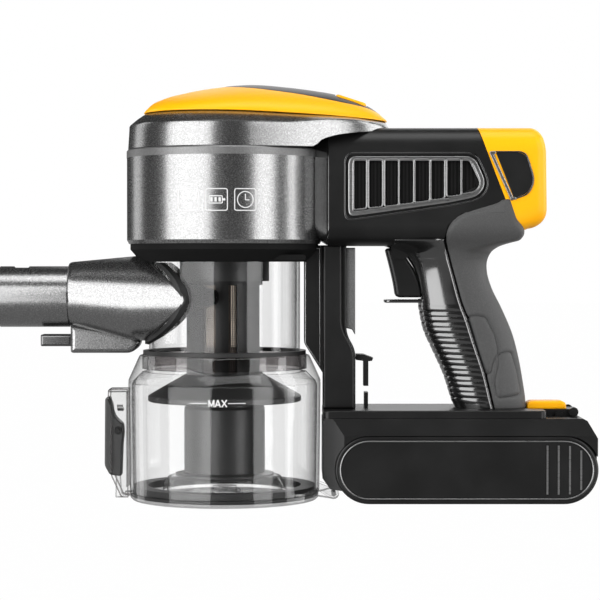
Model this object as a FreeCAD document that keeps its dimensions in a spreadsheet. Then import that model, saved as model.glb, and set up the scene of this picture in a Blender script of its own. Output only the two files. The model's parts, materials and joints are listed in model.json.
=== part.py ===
import FreeCAD, Part
import math
import os
import Sketcher

document = FreeCAD.newDocument("handheld_vacuum")
Vector = FreeCAD.Vector

# every driving dimension, in millimetres
driving = {
    "motor_radius": (64.7, "motor housing outside radius"),
    "motor_bottom": (169.3, "height of the motor housing's lower edge"),
    "motor_top": (226.0, "height where the trim band starts"),
    "band_height": (5.3, "trim band height"),
    "upper_step": (0.8, "how far the upper housing stands in from the motor housing"),
    "upper_top": (256.0, "height of the upper housing's roof"),
    "beak_reach": (110.0, "how far the hood reaches over the handle"),
    "beak_half": (37.0, "half width of the hood near its tip"),
    "shell": (2.5, "wall of the housings"),
    "cap_back": (-51.5, "left tip of the top cap"),
    "cap_front": (106.0, "right tip of the top cap"),
    "cap_rise": (17.0, "height of the top cap's dome"),
    "cap_half": (46.0, "half width of the top cap"),
    "stripe_half": (12.0, "half width of the stripe on the cap"),
    "cup_radius": (64.0, "dust cup outside radius"),
    "cup_wall": (2.2, "wall of the clear parts"),
    "cup_shoulder": (77.0, "height where the shoulder starts"),
    "neck_bottom": (86.7, "lower edge of the smoked ring"),
    "neck_radius": (54.7, "smoked ring outside radius"),
    "chamber_bottom": (98.7, "lower edge of the upper chamber"),
    "chamber_radius": (50.3, "upper chamber outside radius"),
    "chamber_top": (165.8, "upper edge of the upper chamber"),
    "lid_radius": (62.7, "bin lid outside radius"),
    "lid_height": (4.6, "bin lid thickness"),
    "collar_radius": (29.7, "cyclone collar outside radius"),
    "screen_radius": (25.3, "cyclone screen outside radius"),
    "screen_bottom": (82.0, "lower edge of the screen"),
    "screen_top": (144.7, "upper edge of the screen"),
    "skirt_radius": (51.0, "outside radius of the cyclone skirt"),
    "cone_radius": (26.9, "cyclone cone outside radius"),
    "cone_bottom": (15.6, "lower end of the cyclone cone"),
    "tube_radius": (20.2, "inlet tube outside radius"),
    "tube_bore": (17.8, "inlet tube inside radius"),
    "tube_end": (-149.0, "mouth of the inlet tube"),
    "tube_height": (134.3, "height of the inlet tube's centre"),
    "inlet_face": (-103.0, "left face of the inlet housing"),
    "barrel_gap": (4.3, "from the motor housing to the handle barrel"),
    "barrel_end": (214.8, "right end of the handle barrel"),
    "barrel_bottom": (168.0, "underside of the handle barrel"),
    "barrel_top": (245.3, "top of the handle barrel"),
    "barrel_half": (33.0, "half width of the handle barrel"),
    "barrel_corner": (16.0, "corner radius of the handle barrel"),
    "grip_half": (18.0, "half width of the grip"),
    "foot_top": (60.5, "top of the foot plate"),
    "foot_bottom": (55.5, "underside of the foot plate"),
    "foot_end": (211.0, "right end of the foot plate"),
    "foot_half": (33.0, "half width of the foot plate"),
    "spine_left": (65.3, "left face of the spine"),
    "spine_right": (87.5, "right face of the spine"),
    "spine_half": (17.0, "half width of the spine"),
    "trigger_half": (9.0, "half width of the trigger"),
    "battery_left": (65.0, "left face of the battery"),
    "battery_right": (244.4, "right end of the battery"),
    "battery_half": (38.0, "half width of the battery"),
    "pill_height": (44.4, "height of the battery's rounded side cover"),
    "pill_left": (73.0, "left end of the rounded side cover"),
    "cell_radius": (9.2, "18650 cell radius"),
    "cell_length": (65.0, "18650 cell length"),
    "hinge_reach": (72.7, "bin lid hinge pin, distance from the bin axis"),
    "hinge_height": (3.3, "bin lid hinge pin height"),
    "latch_reach": (-70.6, "bin latch pivot, distance from the bin axis"),
    "latch_height": (45.5, "bin latch pivot height"),
    "pin_radius": (1.5, "radius of the small pins"),
    "play": (0.05, "running clearance on pins and shaft"),
    "slip": (0.4, "clearance between the closed lid and the dust cup"),
    "slide_gap": (0.2, "clearance between the foot plate and the battery"),
}

sheet = document.addObject("Spreadsheet::Sheet", "sizes")
for row, (name, (value, note)) in enumerate(driving.items(), 1):
    sheet.set(f"A{row}", name)
    sheet.set(f"B{row}", str(value))
    sheet.setAlias(f"B{row}", name)
    sheet.set(f"C{row}", note)
document.recompute()


class Size:
    # a number together with the sheet expression that gives it
    def __init__(self, value, text):
        self.value, self.text = float(value), text

    def __add__(self, other):
        other = size(other)
        return Size(self.value + other.value, f"({self.text} + {other.text})")

    def __sub__(self, other):
        other = size(other)
        return Size(self.value - other.value, f"({self.text} - {other.text})")

    def __mul__(self, other):
        other = size(other)
        return Size(self.value * other.value, f"({self.text} * {other.text})")

    def __truediv__(self, other):
        other = size(other)
        return Size(self.value / other.value, f"({self.text} / {other.text})")

    def __neg__(self):
        return size(0) - self

    __radd__ = __add__

    def __rsub__(self, other):
        return size(other) - self

    __rmul__ = __mul__


def size(value):
    if isinstance(value, Size):
        return value
    return Size(value, f"{value:.6g}" if value >= 0 else f"(0 - {-value:.6g})")


class Names:
    pass


s = Names()
for name in driving:
    setattr(s, name, Size(float(sheet.get(name)), f"sizes.{name}"))
s.upper_radius = s.motor_radius - s.upper_step
s.barrel_start = s.motor_radius + s.barrel_gap
s.cup_bottom = s.lid_height + s.slip
s.battery_top = s.foot_bottom - s.slide_gap


def bind(thing, field, value):
    thing.setExpression(field, size(value).text)


def place(thing, at):
    for letter, value in zip("xyz", at):
        if size(value).value or isinstance(value, Size):
            bind(thing, f"Placement.Base.{letter}", value)


def draw_circle(sketch, x, y, radius):
    x, y, radius = size(x), size(y), size(radius)
    circle = Part.Circle(Vector(x.value, y.value, 0), Vector(0, 0, 1), radius.value)
    one = sketch.addGeometry(circle)
    for constraint, value in (
        (("DistanceX", -1, 1, one, 3, x.value), x),
        (("DistanceY", -1, 1, one, 3, y.value), y),
        (("Radius", one, radius.value), radius),
    ):
        at = sketch.addConstraint(Sketcher.Constraint(*constraint))
        sketch.setExpression(f"Constraints[{at}]", value.text)


# a loop is a list of corners (x, y); a corner with four numbers (x, y, mx, my)
# is reached from the one before it by an arc through (mx, my)
def draw_loop(sketch, corners):
    corners = [tuple(size(v) for v in corner) for corner in corners]
    count = len(corners)
    sides = []
    for i in range(count):
        a, b = corners[i], corners[(i + 1) % count]
        start, end = Vector(a[0].value, a[1].value, 0), Vector(b[0].value, b[1].value, 0)
        if len(b) == 4:
            curve = Part.Arc(start, Vector(b[2].value, b[3].value, 0), end)
        else:
            curve = Part.LineSegment(start, end)
        at = sketch.addGeometry(curve)
        first = 1 if (sketch.getPoint(at, 1) - start).Length < 1e-6 else 2
        sides.append((at, first, 3 - first))
    for i in range(count):
        at, first, last = sides[i]
        follow = sides[(i + 1) % count]
        sketch.addConstraint(Sketcher.Constraint("Coincident", at, last, follow[0], follow[1]))
    for (x, y, *_), (at, first, _) in zip(corners, sides):
        for axis, value in (("DistanceX", x), ("DistanceY", y)):
            one = sketch.addConstraint(Sketcher.Constraint(axis, -1, 1, at, first, value.value))
            sketch.setExpression(f"Constraints[{one}]", value.text)


class Piece:
    # one PartDesign body, built feature by feature
    def __init__(self, label, at=(0, 0, 0)):
        self.label, self.count = label, 0
        self.body = document.addObject("PartDesign::Body", label)
        if "AllowCompound" in self.body.PropertiesList:
            self.body.AllowCompound = True
        place(self.body, at)

    def name(self, kind):
        self.count += 1
        return f"{self.label}_{kind}{self.count}"

    def sketch(self, plane, loops, lift=0):
        flat = [f for f in self.body.Origin.OriginFeatures if f.Role == f"{plane}_Plane"][0]
        sketch = self.body.newObject("Sketcher::SketchObject", self.name("sketch"))
        sketch.AttachmentSupport = (flat, [""])
        sketch.MapMode = "FlatFace"
        bind(sketch, "AttachmentOffset.Base.z", lift)
        for loop in loops:
            if loop[0] == "circle":
                draw_circle(sketch, *loop[1:])
            else:
                draw_loop(sketch, loop)
        return sketch

    # adds (or takes away) the loops' prism between two positions on the world axis
    # that the plane's normal follows
    def pad(self, plane, loops, low, high, kind="Pad"):
        low, high = size(low), size(high)
        add = kind == "Pad"
        if plane == "XZ":
            lift = -high if add else -low
        else:
            lift = low if add else high
        sketch = self.sketch(plane, loops, lift)
        feature = self.body.newObject(f"PartDesign::{kind}", self.name(kind.lower()))
        feature.Profile = sketch
        feature.Type = "Length"
        bind(feature, "Length", high - low)
        return self

    def pocket(self, plane, loops, low, high):
        return self.pad(plane, loops, low, high, "Pocket")

    def spin(self, loops, kind="Revolution", axis="V_Axis", plane="XZ"):
        sketch = self.sketch(plane, loops)
        feature = self.body.newObject(f"PartDesign::{kind}", self.name("turned"))
        feature.Profile = sketch
        feature.ReferenceAxis = (sketch, [axis])
        feature.Angle = 360
        return self

    def around(self, times):
        last = self.body.Tip
        pattern = self.body.newObject("PartDesign::PolarPattern", self.name("pattern"))
        pattern.Originals = [last]
        vertical = [f for f in self.body.Origin.OriginFeatures if f.Role == "Z_Axis"][0]
        pattern.Axis = (vertical, [""])
        pattern.Angle = 360
        pattern.Occurrences = times
        self.body.Tip = pattern
        return self

    def soften(self, radius, choose, kind="Fillet"):
        document.recompute()
        base = self.body.Tip
        names = []
        for i, edge in enumerate(base.Shape.Edges, 1):
            middle = edge.valueAt((edge.FirstParameter + edge.LastParameter) / 2)
            span = edge.BoundBox
            if choose(middle, span):
                names.append(f"Edge{i}")
        feature = self.body.newObject(f"PartDesign::{kind}", self.name(kind.lower()))
        feature.Base = (base, names)
        bind(feature, "Radius" if kind == "Fillet" else "Size", radius)
        return self


def rectangle(x0, y0, x1, y1):
    return [(x0, y0), (x1, y0), (x1, y1), (x0, y1)]


def stadium_loop(x0, y0, x1, y1):
    # first corner is reached by the left arc, third by the right arc
    radius = (size(y1) - y0) / 2
    middle = (size(y0) + y1) / 2
    left, right = size(x0) + radius, size(x1) - radius
    return [(left, y0, x0, middle), (right, y0), (right, y1, x1, middle), (left, y1)]


def rounded(x0, y0, x1, y1, radius):
    x0, y0, x1, y1, radius = (size(v) for v in (x0, y0, x1, y1, radius))
    near = radius * (1 - math.sqrt(0.5))
    return [
        (x0 + radius, y0, x0 + near, y0 + near), (x1 - radius, y0),
        (x1, y0 + radius, x1 - near, y0 + near), (x1, y1 - radius),
        (x1 - radius, y1, x1 - near, y1 - near), (x0 + radius, y1),
        (x0, y1 - radius, x0 + near, y1 - near), (x0, y0 + radius),
    ]


def tube_loop(inner, outer, low, high):
    return rectangle(inner, low, outer, high)


def combine(kind, label, *things):
    thing = document.addObject(f"Part::{kind}", label)
    if kind == "Cut":
        thing.Base, thing.Tool = things
    else:
        thing.Shapes = list(things)
    thing.Refine = False
    return thing


def solid(label, shape):
    thing = document.addObject("Part::Feature", label)
    thing.Shape = shape
    return thing


def prism(label, loop, low, high, plane="XZ"):
    return Piece(label).pad(plane, [loop], low, high).body


nodes = {}


def keep(piece, label=None):
    thing = piece.body if isinstance(piece, Piece) else piece
    nodes[label or thing.Label] = thing
    return thing


# ---- motor head
def motor_housing():
    r, low, high, wall = s.motor_radius, s.motor_bottom, s.motor_top, s.shell
    piece = Piece("motor_housing")
    piece.spin([[
        (20, low), (r - 1.2, low), (r, low + 2.5), (r, high),
        (r - wall, high), (r - wall, low + 3), (20, low + 3),
    ]])
    piece.pocket("YZ", [rounded(-20, low + 14, 20, high - 6, 6)], 40, s.motor_radius + 10)
    keep(piece)


def trim_band():
    piece = Piece("trim_band")
    r, low = s.motor_radius, s.motor_top
    piece.spin([[
        (r - s.shell, low), (r + 0.2, low), (r + 0.2, low + s.band_height - 0.8),
        (r - 0.6, low + s.band_height), (r - s.shell, low + s.band_height),
    ]])
    keep(piece)


def hood_outline(inset):
    r = s.upper_radius - inset
    reach, half = s.beak_reach - inset, s.beak_half - inset
    across, along = r * 0.9367, r * 0.35
    return [
        (along, across, -r, 0), (reach - 16, half), (reach - 16, -half, reach, 0), (along, -across),
    ]


def upper_housing():
    low, high = s.motor_top + s.band_height, s.upper_top
    piece = Piece("upper_housing")
    piece.pad("XY", [hood_outline(0)], low, high - 8)
    piece.pad("XY", [hood_outline(0)], high - 8, high)
    piece.body.Tip.TaperAngle = -50
    piece.pocket("XZ", [[
        (62, low - 2), (s.beak_reach + 5, low - 2), (s.beak_reach + 5, high - 11.2),
        (70, low + 7), (66, low + 4),
    ]], -90, 90)
    piece.pocket("YZ", [rounded(
        -(s.barrel_half + 1.0), s.barrel_bottom - 1, s.barrel_half + 1.0, s.barrel_top + 0.3,
        s.barrel_corner + 1)], 60, s.beak_reach + 10)
    piece.pocket("XY", [("circle", 0, 0, s.upper_radius - s.shell)], low - 1, high - 10)
    piece.pocket("XY", [("circle", 0, 0, 40)], high - 12, high + 1)
    piece.spin([[
        (12, high - 16), (s.upper_radius - 2, high - 16), (s.upper_radius - 2, high - 14),
        (12, high - 14),
    ]])
    piece.pocket("XY", [("circle", 26, 0, 7)], high - 17, high - 13).around(6)
    keep(piece)


def bayonet_collar():
    piece = Piece("collar_ring")
    low, high, inside = s.motor_bottom - 11.8, s.motor_bottom, s.chamber_radius + 1.2
    piece.spin([[
        (inside, low), (inside + 4, low), (s.motor_radius - 2.2, low + 8),
        (s.motor_radius - 2.2, high), (inside, high),
    ]])
    lock = Piece("lock_mark")
    lock.pad("XZ", [rounded(28, low + 0.9, 54, low + 4.6, 1.6)], -46, -30)
    lock.pocket("XY", [("circle", 0, 0, inside + 3)], low - 1, low + 9)
    keep(combine("MultiFuse", "bayonet_collar", piece.body, lock.body))


def motor_unit():
    low = s.motor_bottom
    cradle = Piece("motor_cradle")
    cradle.spin([tube_loop(31, s.motor_radius - s.shell, low + 20, low + 23)])
    cradle.pocket("XY", [("circle", 46, 0, 9)], low + 19, low + 24).around(8)
    cradle.spin([[
        (27, low + 17), (33, low + 17), (33, low + 20), (31, low + 20), (31, low + 23),
        (33, low + 23), (33, low + 26), (27, low + 26),
    ]])
    keep(cradle)
    can = Piece("motor_can")
    bore = 2.5 + s.play
    can.spin([[
        (bore, low + 17), (9, low + 17), (9, low + 19), (27, low + 19), (27, low + 50),
        (25, low + 52), (10, low + 52), (bore, low + 52),
    ]])
    keep(can)
    board = Piece("motor_board")
    board.spin([tube_loop(10.4, 26, low + 52, low + 53.6)])
    board.pad("XY", [rectangle(13, -5, 21, 5)], low + 53.6, low + 59).around(3)
    keep(board)
    shaft = Piece("motor_shaft")
    shaft.spin([[(0, low + 5), (2.5, low + 5), (2.5, low + 51), (0, low + 51)]])
    keep(shaft)
    wheel = Piece("impeller")
    wheel.spin([[
        (2.5, low + 5.5), (7, low + 5.5), (9, low + 11), (24, low + 13), (24, low + 14.2),
        (2.5, low + 14.2),
    ]])
    wheel.pad("XY", [[(8, -0.5), (23.5, -5.5), (23.5, -4.3), (8, 0.7)]], low + 6.2, low + 13.5)
    wheel.around(9)
    keep(wheel)
    filter_pad = Piece("filter_pad")
    filter_pad.spin([[
        (14, s.upper_top - 14), (39.6, s.upper_top - 14), (39.6, s.upper_top - 0.6),
        (14, s.upper_top - 0.6),
    ]])
    keep(filter_pad)


# half width and rise of the cap along its length: a round back and a drawn-out nose
def cap_section(x, shrink):
    back, front = s.cap_back.value + shrink, s.cap_front.value - shrink
    middle = 6.0
    if x < middle:
        share = (middle - x) / (middle - back)
        spread = (1 - share ** 2) ** 0.5
    else:
        share = (x - middle) / (front - middle)
        spread = (1 - share ** 2.0) ** 0.6
    centre = 20.0
    reach = (centre - back) if x < centre else (front - centre)
    lift = (1 - (abs(x - centre) / reach) ** 2.1) ** 0.62
    return (s.cap_half.value - shrink) * spread, (s.cap_rise.value - shrink) * lift


def cap_form(label, shrink):
    back, front = s.cap_back.value + shrink, s.cap_front.value - shrink
    steps = 15
    wires = []
    for i in range(steps):
        x = (back + front) / 2 - (front - back) / 2 * 0.994 * math.cos(math.pi * i / (steps - 1))
        half, rise = cap_section(x, shrink)
        base = s.upper_top.value + 0.2
        points = [
            Vector(x, -half * math.cos(a), base + rise * math.sin(a) ** 0.9)
            for a in (math.pi * k / 12 for k in range(13))
        ]
        curve = Part.BSplineCurve()
        curve.interpolate(points)
        wires.append(Part.Wire([curve.toShape(), Part.makeLine(points[-1], points[0])]))
    return solid(label, Part.makeLoft(wires, True, False))


def top_cover():
    form = combine("Cut", "cap_skin", cap_form("cap_outer", 0), cap_form("cap_inner", 2.2))
    low = s.upper_top
    slot = prism("stripe_cutter", rectangle(0, -s.stripe_half, 110, s.stripe_half), low - 2, low + 40, "XY")
    keep(combine("Cut", "top_cap", form, slot))
    button = Piece("cap_button")
    button.pad("XY", [rounded(-10.5, -7, 10.5, 7, 3)], -4.5, 1.2)
    button.soften(0.8, lambda p, b: abs(p.z - 1.2) < 0.01)
    button.body.Placement = FreeCAD.Placement(
        Vector(83.2, 0, s.upper_top.value + 9.2), FreeCAD.Rotation(Vector(0, 1, 0), 16))
    keep(button)
    hole = Piece("button_hole")
    hole.pad("XY", [rounded(-10.9, -7.4, 10.9, 7.4, 3.4)], -12, 12)
    hole.body.Placement = button.body.Placement
    stripe = combine("MultiCommon", "stripe_full", form, slot)
    keep(combine("Cut", "cap_stripe", stripe, hole.body))


# ---- handle
def barrel(label, inset):
    left, right = s.barrel_start, s.barrel_end - inset
    low, high = s.barrel_bottom + inset, s.barrel_top - inset
    half = s.barrel_half - inset
    corner = s.barrel_corner - inset
    if inset:
        left = left - 5
    side = prism(f"{label}_side", [
        (left, low), (right - 38, low), (right - 20.2, low + 5.8), (right - 5.8, low + 11.4),
        (right - 0.7, low + 22.0, right - 1.8, low + 15.6), (right, low + 41),
        (right - 3.4, high - 5.4), (right - 8.0, high, right - 4.8, high - 1.5), (left, high),
    ], -60, 60)
    end = prism(f"{label}_end", rounded(-half, low, half, high, corner), left, right, "YZ")
    near = corner * (1 - math.sqrt(0.5))
    plan = prism(f"{label}_plan", [
        (left, -half), (right - corner, -half), (right, -half + corner, right - near, -half + near),
        (right, half - corner), (right - corner, half, right - near, half - near), (left, half),
    ], 100, 300, "XY")
    return combine("MultiCommon", label, side, end, plan)


# front and back of the grip at each height, as offsets from the foot plate upwards
grip_line = [
    (0.0, 155.0, 199.3), (5.0, 153.6, 198.9), (17.5, 149.3, 197.2), (31.5, 143.4, 194.7),
    (45.5, 137.3, 191.0), (59.5, 132.9, 185.6), (73.5, 130.0, 179.2), (86.5, 128.2, 174.6),
    (99.5, 127.0, 174.2), (109.5, 125.0, 179.0), (117.0, 122.0, 187.0),
]


def grip(label, inset):
    wires = []
    rise = (s.barrel_bottom.value - s.foot_top.value) / 107.5
    for height, front, back in grip_line:
        z = s.foot_top.value + height * rise
        if inset and height in (grip_line[0][0], grip_line[-1][0]):
            z += 2.0 if height > 50 else -2.0
        half = s.grip_half.value + 1.5 * (height / 60 - 1) ** 2 - inset
        middle, reach = (front + back) / 2, (back - front) / 2 - inset
        points = []
        for k in range(20):
            a = 2 * math.pi * k / 20
            c, n = math.cos(a), math.sin(a)
            points.append(Vector(
                middle + reach * math.copysign(abs(c) ** 0.85, c),
                half * math.copysign(abs(n) ** 0.85, n), z))
        curve = Part.BSplineCurve()
        curve.interpolate(points, PeriodicFlag=True)
        wires.append(Part.Wire([curve.toShape()]))
    return solid(label, Part.makeLoft(wires, True, False))


seam = [
    (186.4, 197.2), (154.9, 188.6), (146.4, 181.0), (144.4, 172.5), (146.4, 168.2), (152.3, 147.5),
    (158.2, 127.1), (160.9, 121.1), (172.7, 84.3), (177.7, 63.9), (177.7, 50.0),
]
cap_seam = [(165.0, 250.0), (173.8, 229.8), (186.4, 197.2), (192.5, 172.5), (193.5, 155.0)]


def handle():
    wall = s.shell
    outer, inner = barrel("barrel_outer", 0), barrel("barrel_inner", wall)
    throat = grip("grip_inner", wall.value)
    grip_wall = combine("Cut", "grip_wall", grip("grip_outer", 0), throat)

    def region(label, zone):
        return combine("Cut", label, combine("MultiCommon", f"{label}_outside", outer, zone), inner)

    cap_zone = prism("cap_zone", cap_seam + [(230, 155), (230, 250)], -60, 60)
    back_zone = prism(
        "back_zone", seam + [(230, 50), (230, 155), cap_seam[4], cap_seam[3]], -60, 60)
    front_zone = prism(
        "front_zone", [(100, s.barrel_bottom), (146.4, s.barrel_bottom)] + seam[5:] + [(100, 50)], -60, 60)
    recess = Piece("panel_recess")
    outline = [
        (173.8, 229.2), (196.1, 229.2), (200.5, 224.5), (203.0, 210.0), (199.3, 202.2), (186.2, 197.6),
    ]
    for low, high in ((s.barrel_half - 1.2, s.barrel_half + 2), (-(s.barrel_half + 2), 1.2 - s.barrel_half)):
        recess.pad("XZ", [outline], low, high)
    cap = region("cap_block", cap_zone)
    keep(combine("Cut", "rear_cap", cap, recess.body))
    panel = Piece("rear_panels")
    for sign in (-1, 1):
        a, b = s.barrel_half - 1.2, s.barrel_half - 0.5
        low, high = (a, b) if sign > 0 else (-b, -a)
        panel.pad("XZ", [[
            (174.3, 228.9), (195.9, 228.9), (200.2, 224.3), (202.7, 210.1), (199.1, 202.5), (186.4, 198.0),
        ]], low, high)
        bar = s.barrel_half + 0.3
        low, high = (b, bar) if sign > 0 else (-bar, -b)
        panel.pad("XZ", [[(174.6, 228.4), (176.6, 228.4), (188.6, 199.2), (186.6, 198.6)]], low, high)
    keep(panel)
    neck = combine("Cut", "grip_back_neck", region("grip_back_barrel", back_zone), throat)
    lower = combine("MultiCommon", "grip_back_lower", grip_wall, back_zone)
    keep(combine("MultiFuse", "grip_back", neck, lower))
    front = combine("MultiCommon", "grip_front_block", grip_wall, front_zone)
    rings = grip("grip_under", 0.8)
    bands = Piece("groove_bands")
    for i in range(9):
        z = s.foot_top + 7.7 + 7.12 * i
        bands.pad("XZ", [rectangle(110, z - 0.6, 176.5 - 2.05 * i, z + 0.6)], -40, 40)
    grooves = combine("Cut", "groove_cutter", bands.body, rings)
    window = prism("trigger_window", rectangle(
        110, s.foot_top + 72.4, 139, s.barrel_bottom + 0.4), -(s.trigger_half + 0.6), s.trigger_half + 0.6)
    windowed = combine("Cut", "grip_front_windowed", front, window)
    grooved = combine("Cut", "grip_front_grooved", windowed, grooves)
    stop = combine("Cut", "finger_rest_trimmed", finger_rest(), grip("grip_core", 1.2))
    keep(combine("MultiFuse", "grip_front", grooved, stop))
    shell_zone = prism("shell_zone", [
        (40, s.barrel_bottom), seam[4][:1] + (s.barrel_bottom,), seam[3], seam[2], seam[1], seam[0],
        cap_seam[1], cap_seam[0], (40, 250)], -60, 60)
    shell = combine("Cut", "barrel_shell_open", region("barrel_shell", shell_zone), throat)
    shell = combine("Cut", "barrel_shell_slotted", shell, window)
    vents = Piece("vent_cutter")
    groove = [
        (79.0, 223.4), (82.8, 227.6), (164.6, 227.6), (171.9, 210.6), (172.2, 205.4), (166.4, 199.0),
        (147.2, 195.0), (86.1, 185.6), (79.6, 189.5),
    ]
    half = s.barrel_half
    window_loop = [(84.6, 223.6), (162.5, 223.6), (165.2, 206.5), (147.2, 198.4), (84.6, 190.6)]
    for low, high in ((half - 1.5, half + 2), (-(half + 2), 1.5 - half)):
        vents.pad("XZ", [groove], low, high)
    for low, high in ((half - 4, half), (-half, 4 - half)):
        vents.pad("XZ", [window_loop], low, high)
    shell = combine("Cut", "barrel_shell_vented", shell, vents.body)
    for label, low, high in (("handle_shell_left", 0, 60), ("handle_shell_right", -60, 0)):
        block = prism(f"{label}_half", rectangle(40, 100, 240, 300), low, high)
        keep(combine("MultiCommon", label, shell, block))
    vent_grilles()
    foam = Piece("exhaust_filter")
    foam.pad("YZ", [rounded(2.6 - half, 187, half - 2.6, 226, 4)], 84, 166)
    keep(foam)


slot_line = [
    (85.4, 93.2, 191.5), (95.2, 103.6, 192.6), (105.6, 114.0, 193.6), (115.0, 123.8, 194.8),
    (125.1, 134.2, 196.2), (135.5, 143.9, 197.8), (145.9, 154.6, 200.0), (155.6, 164.2, 202.6),
]


def vent_grilles():
    half = s.barrel_half
    outline = [
        (82.0, 223.8), (83.6, 225.8), (163.4, 225.8), (170.2, 210.6), (170.4, 205.8), (165.2, 200.3),
        (147.0, 196.6), (86.0, 188.0), (82.0, 190.4),
    ]
    piece = Piece("vent_grilles")
    for low, high in ((half - 1.5, half - 0.3), (0.3 - half, 1.5 - half)):
        piece.pad("XZ", [outline], low, high)
        for left, right, bottom in slot_line[:-1]:
            piece.pocket("XZ", [rounded(left, bottom, right, 223.2, 1.2)], low - 1, high + 1)
        left, right, bottom = slot_line[-1]
        piece.pocket("XZ", [[
            (left, bottom), (right - 1.4, bottom + 1), (right + 3, bottom + 5, right + 1.4, bottom + 2.4),
            (right + 2.4, bottom + 9), (right - 2.6, 223.2), (left, 223.2),
        ]], low - 1, high + 1)
    keep(piece)


def barrel_collar():
    piece = Piece("collar_block")
    piece.pad("YZ", [rounded(
        -(s.barrel_half + 0.8), s.barrel_bottom - 0.4, s.barrel_half + 0.8, s.barrel_top - 6,
        s.barrel_corner)], s.motor_radius - 14.7, s.barrel_start)
    piece.pocket("YZ", [rounded(
        -22, s.barrel_bottom + 15, 22, s.barrel_top - 22, 6)], 40, s.barrel_start + 1)
    piece.pocket("XY", [("circle", 0, 0, s.motor_radius + 0.25)], 160, 260)
    keep(combine("Cut", "barrel_collar", piece.body, nodes["upper_housing"]))


def trigger_group():
    z = s.barrel_bottom
    piece = Piece("trigger")
    half = s.trigger_half
    piece.pad("XZ", [[
        (107.0, z - 3.0), (112.2, z - 23.6), (113.6, z - 32.2), (115.8, z - 34.3), (131.6, z - 34.3),
        (132.4, z - 30.0), (127.2, z - 17.0), (119.8, z - 6.0), (118.6, z - 1.0), (109.0, z - 1.0),
    ]], -half, half)
    piece.soften(1.5, lambda p, b: abs(abs(p.y) - half.value) < 0.01 and p.x < 118 and b.ZLength > 8)
    piece.pocket("XZ", [("circle", 115.5, z - 4.6, s.pin_radius + s.play)], -20, 20)
    keep(piece)
    ears = Piece("trigger_mount")
    for low, high in ((half + 0.5, half + 3), (-(half + 3), -(half + 0.5))):
        ear = [(110.5, z - 8.4), (120.5, z - 8.4), (125.4, z - 3), (125.4, z), (110.5, z)]
        ears.pad("XZ", [ear], low, high)
    ears.pad("XZ", [("circle", 115.5, z - 4.6, s.pin_radius)], -(half + 3), half + 3)
    keep(ears)
    switch = Piece("trigger_switch")
    switch.pad("XZ", [rounded(137.8, z - 31, 144, z - 12, 1)], -8, 8)
    switch.pad("XZ", [rectangle(136.3, z - 26, 137.8, z - 21)], -4, 4)
    switch.pad("XZ", [rectangle(144, z - 36, 146, z - 12)], -14.2, 14.2)
    keep(switch)


def finger_rest():
    z, half = s.barrel_bottom, s.trigger_half
    stop = Piece("finger_rest")
    stop.pad("XY", [rounded(106.3, -(half + 1), 138, half + 1, 4)], z - 37.8, z - 35.8)
    return stop.body


def spine():
    low, high = s.foot_top, s.barrel_bottom - 0.4
    left, right, half = s.spine_left, s.spine_right, s.spine_half
    piece = Piece("spine_column")
    loop = [
        (left, low), (right, low), (right, low + 45), (right - 3.5, low + 51), (right - 3.5, high),
        (left, high),
    ]
    piece.pad("XZ", [loop], -half, half)
    piece.soften(2.5, lambda p, b: abs(abs(p.y) - half.value) < 0.01 and b.ZLength > 20)
    piece.pocket("XZ", [rectangle(left + 2.5, low + 3, right - 6, high - 3)], 2.5 - half, half - 2.5)
    piece.pocket("XZ", [[
        (left + 12.7, low - 1), (left + 13.5, low - 1), (left + 13.5, high + 1), (left + 12.7, high + 1),
    ]], -(half + 1), 0.6 - half)
    keep(combine("MultiFuse", "spine_shell", piece.body, neck_web()))
    rail = Piece("spine_strip")
    rail.pad("XZ", [[
        (right - 3.5, low + 51.4), (right, low + 57), (right, high - 0.6), (right - 3.5, high - 0.6),
    ]], 5 - half, half - 5)
    keep(rail)
    hook = Piece("dock_hook")
    hook.pad("XZ", [[
        (right, low + 31.8), (right + 5, low + 31.2), (right + 5, low + 14.6), (right + 8.2, low + 14.6),
        (right + 8.2, low + 31.0), (right + 10.6, low + 31.2), (right + 11.4, low + 33.2),
        (right + 5, low + 35.6), (right, low + 35.8),
    ]], -7, 7)
    hook.pad("XZ", [rectangle(right + 5.5, low, right + 8, low + 10.3)], -7, 7)
    keep(hook)


def neck_web():
    left = s.spine_left
    web = Piece("neck_web")
    web.pad("XZ", [[
        (left - 12.6, 157.3), (left - 12.6, 103.6), (left, 83.2), (left, 157.3),
    ]], -12, 12)
    web.soften(1.2, lambda p, b: abs(abs(p.y) - 12) < 0.01 and p.x < left.value - 1 and b.ZLength > 15)
    return web.body


def foot_plate():
    low, high, half, end = s.foot_bottom, s.foot_top, s.foot_half, s.foot_end
    piece = Piece("foot_plate")
    piece.pad("XY", [rounded(s.spine_left, -half, end, half, 4)], low, high)
    piece.soften(1.2, lambda p, b: abs(p.z - high.value) < 0.01)
    piece.pocket("XY", [rectangle(end - 14, -13, end + 5, 13)], low - 1, high + 1)
    for sign in (-1, 1):
        near, far = sign * 16, sign * 20
        lip = sign * 23
        piece.pad("XY", [rectangle(76, min(near, far), 190, max(near, far))], low - 5.6, low)
        piece.pad("XY", [rectangle(76, min(near, lip), 190, max(near, lip))], low - 5.6, low - 3.6)
    keep(piece)
    contacts = Piece("battery_contacts")
    for y in (-7, 0, 7):
        contacts.pad("XY", [rectangle(78, y - 0.6, 92, y + 0.6)], low - 5, low)
    keep(contacts)


def case_screws():
    piece = Piece("case_screws")
    for height in (84, 150):
        piece.pad("XZ", [("circle", 76, height, 2.8)], s.spine_half, s.spine_half + 0.9)
    keep(piece)


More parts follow.
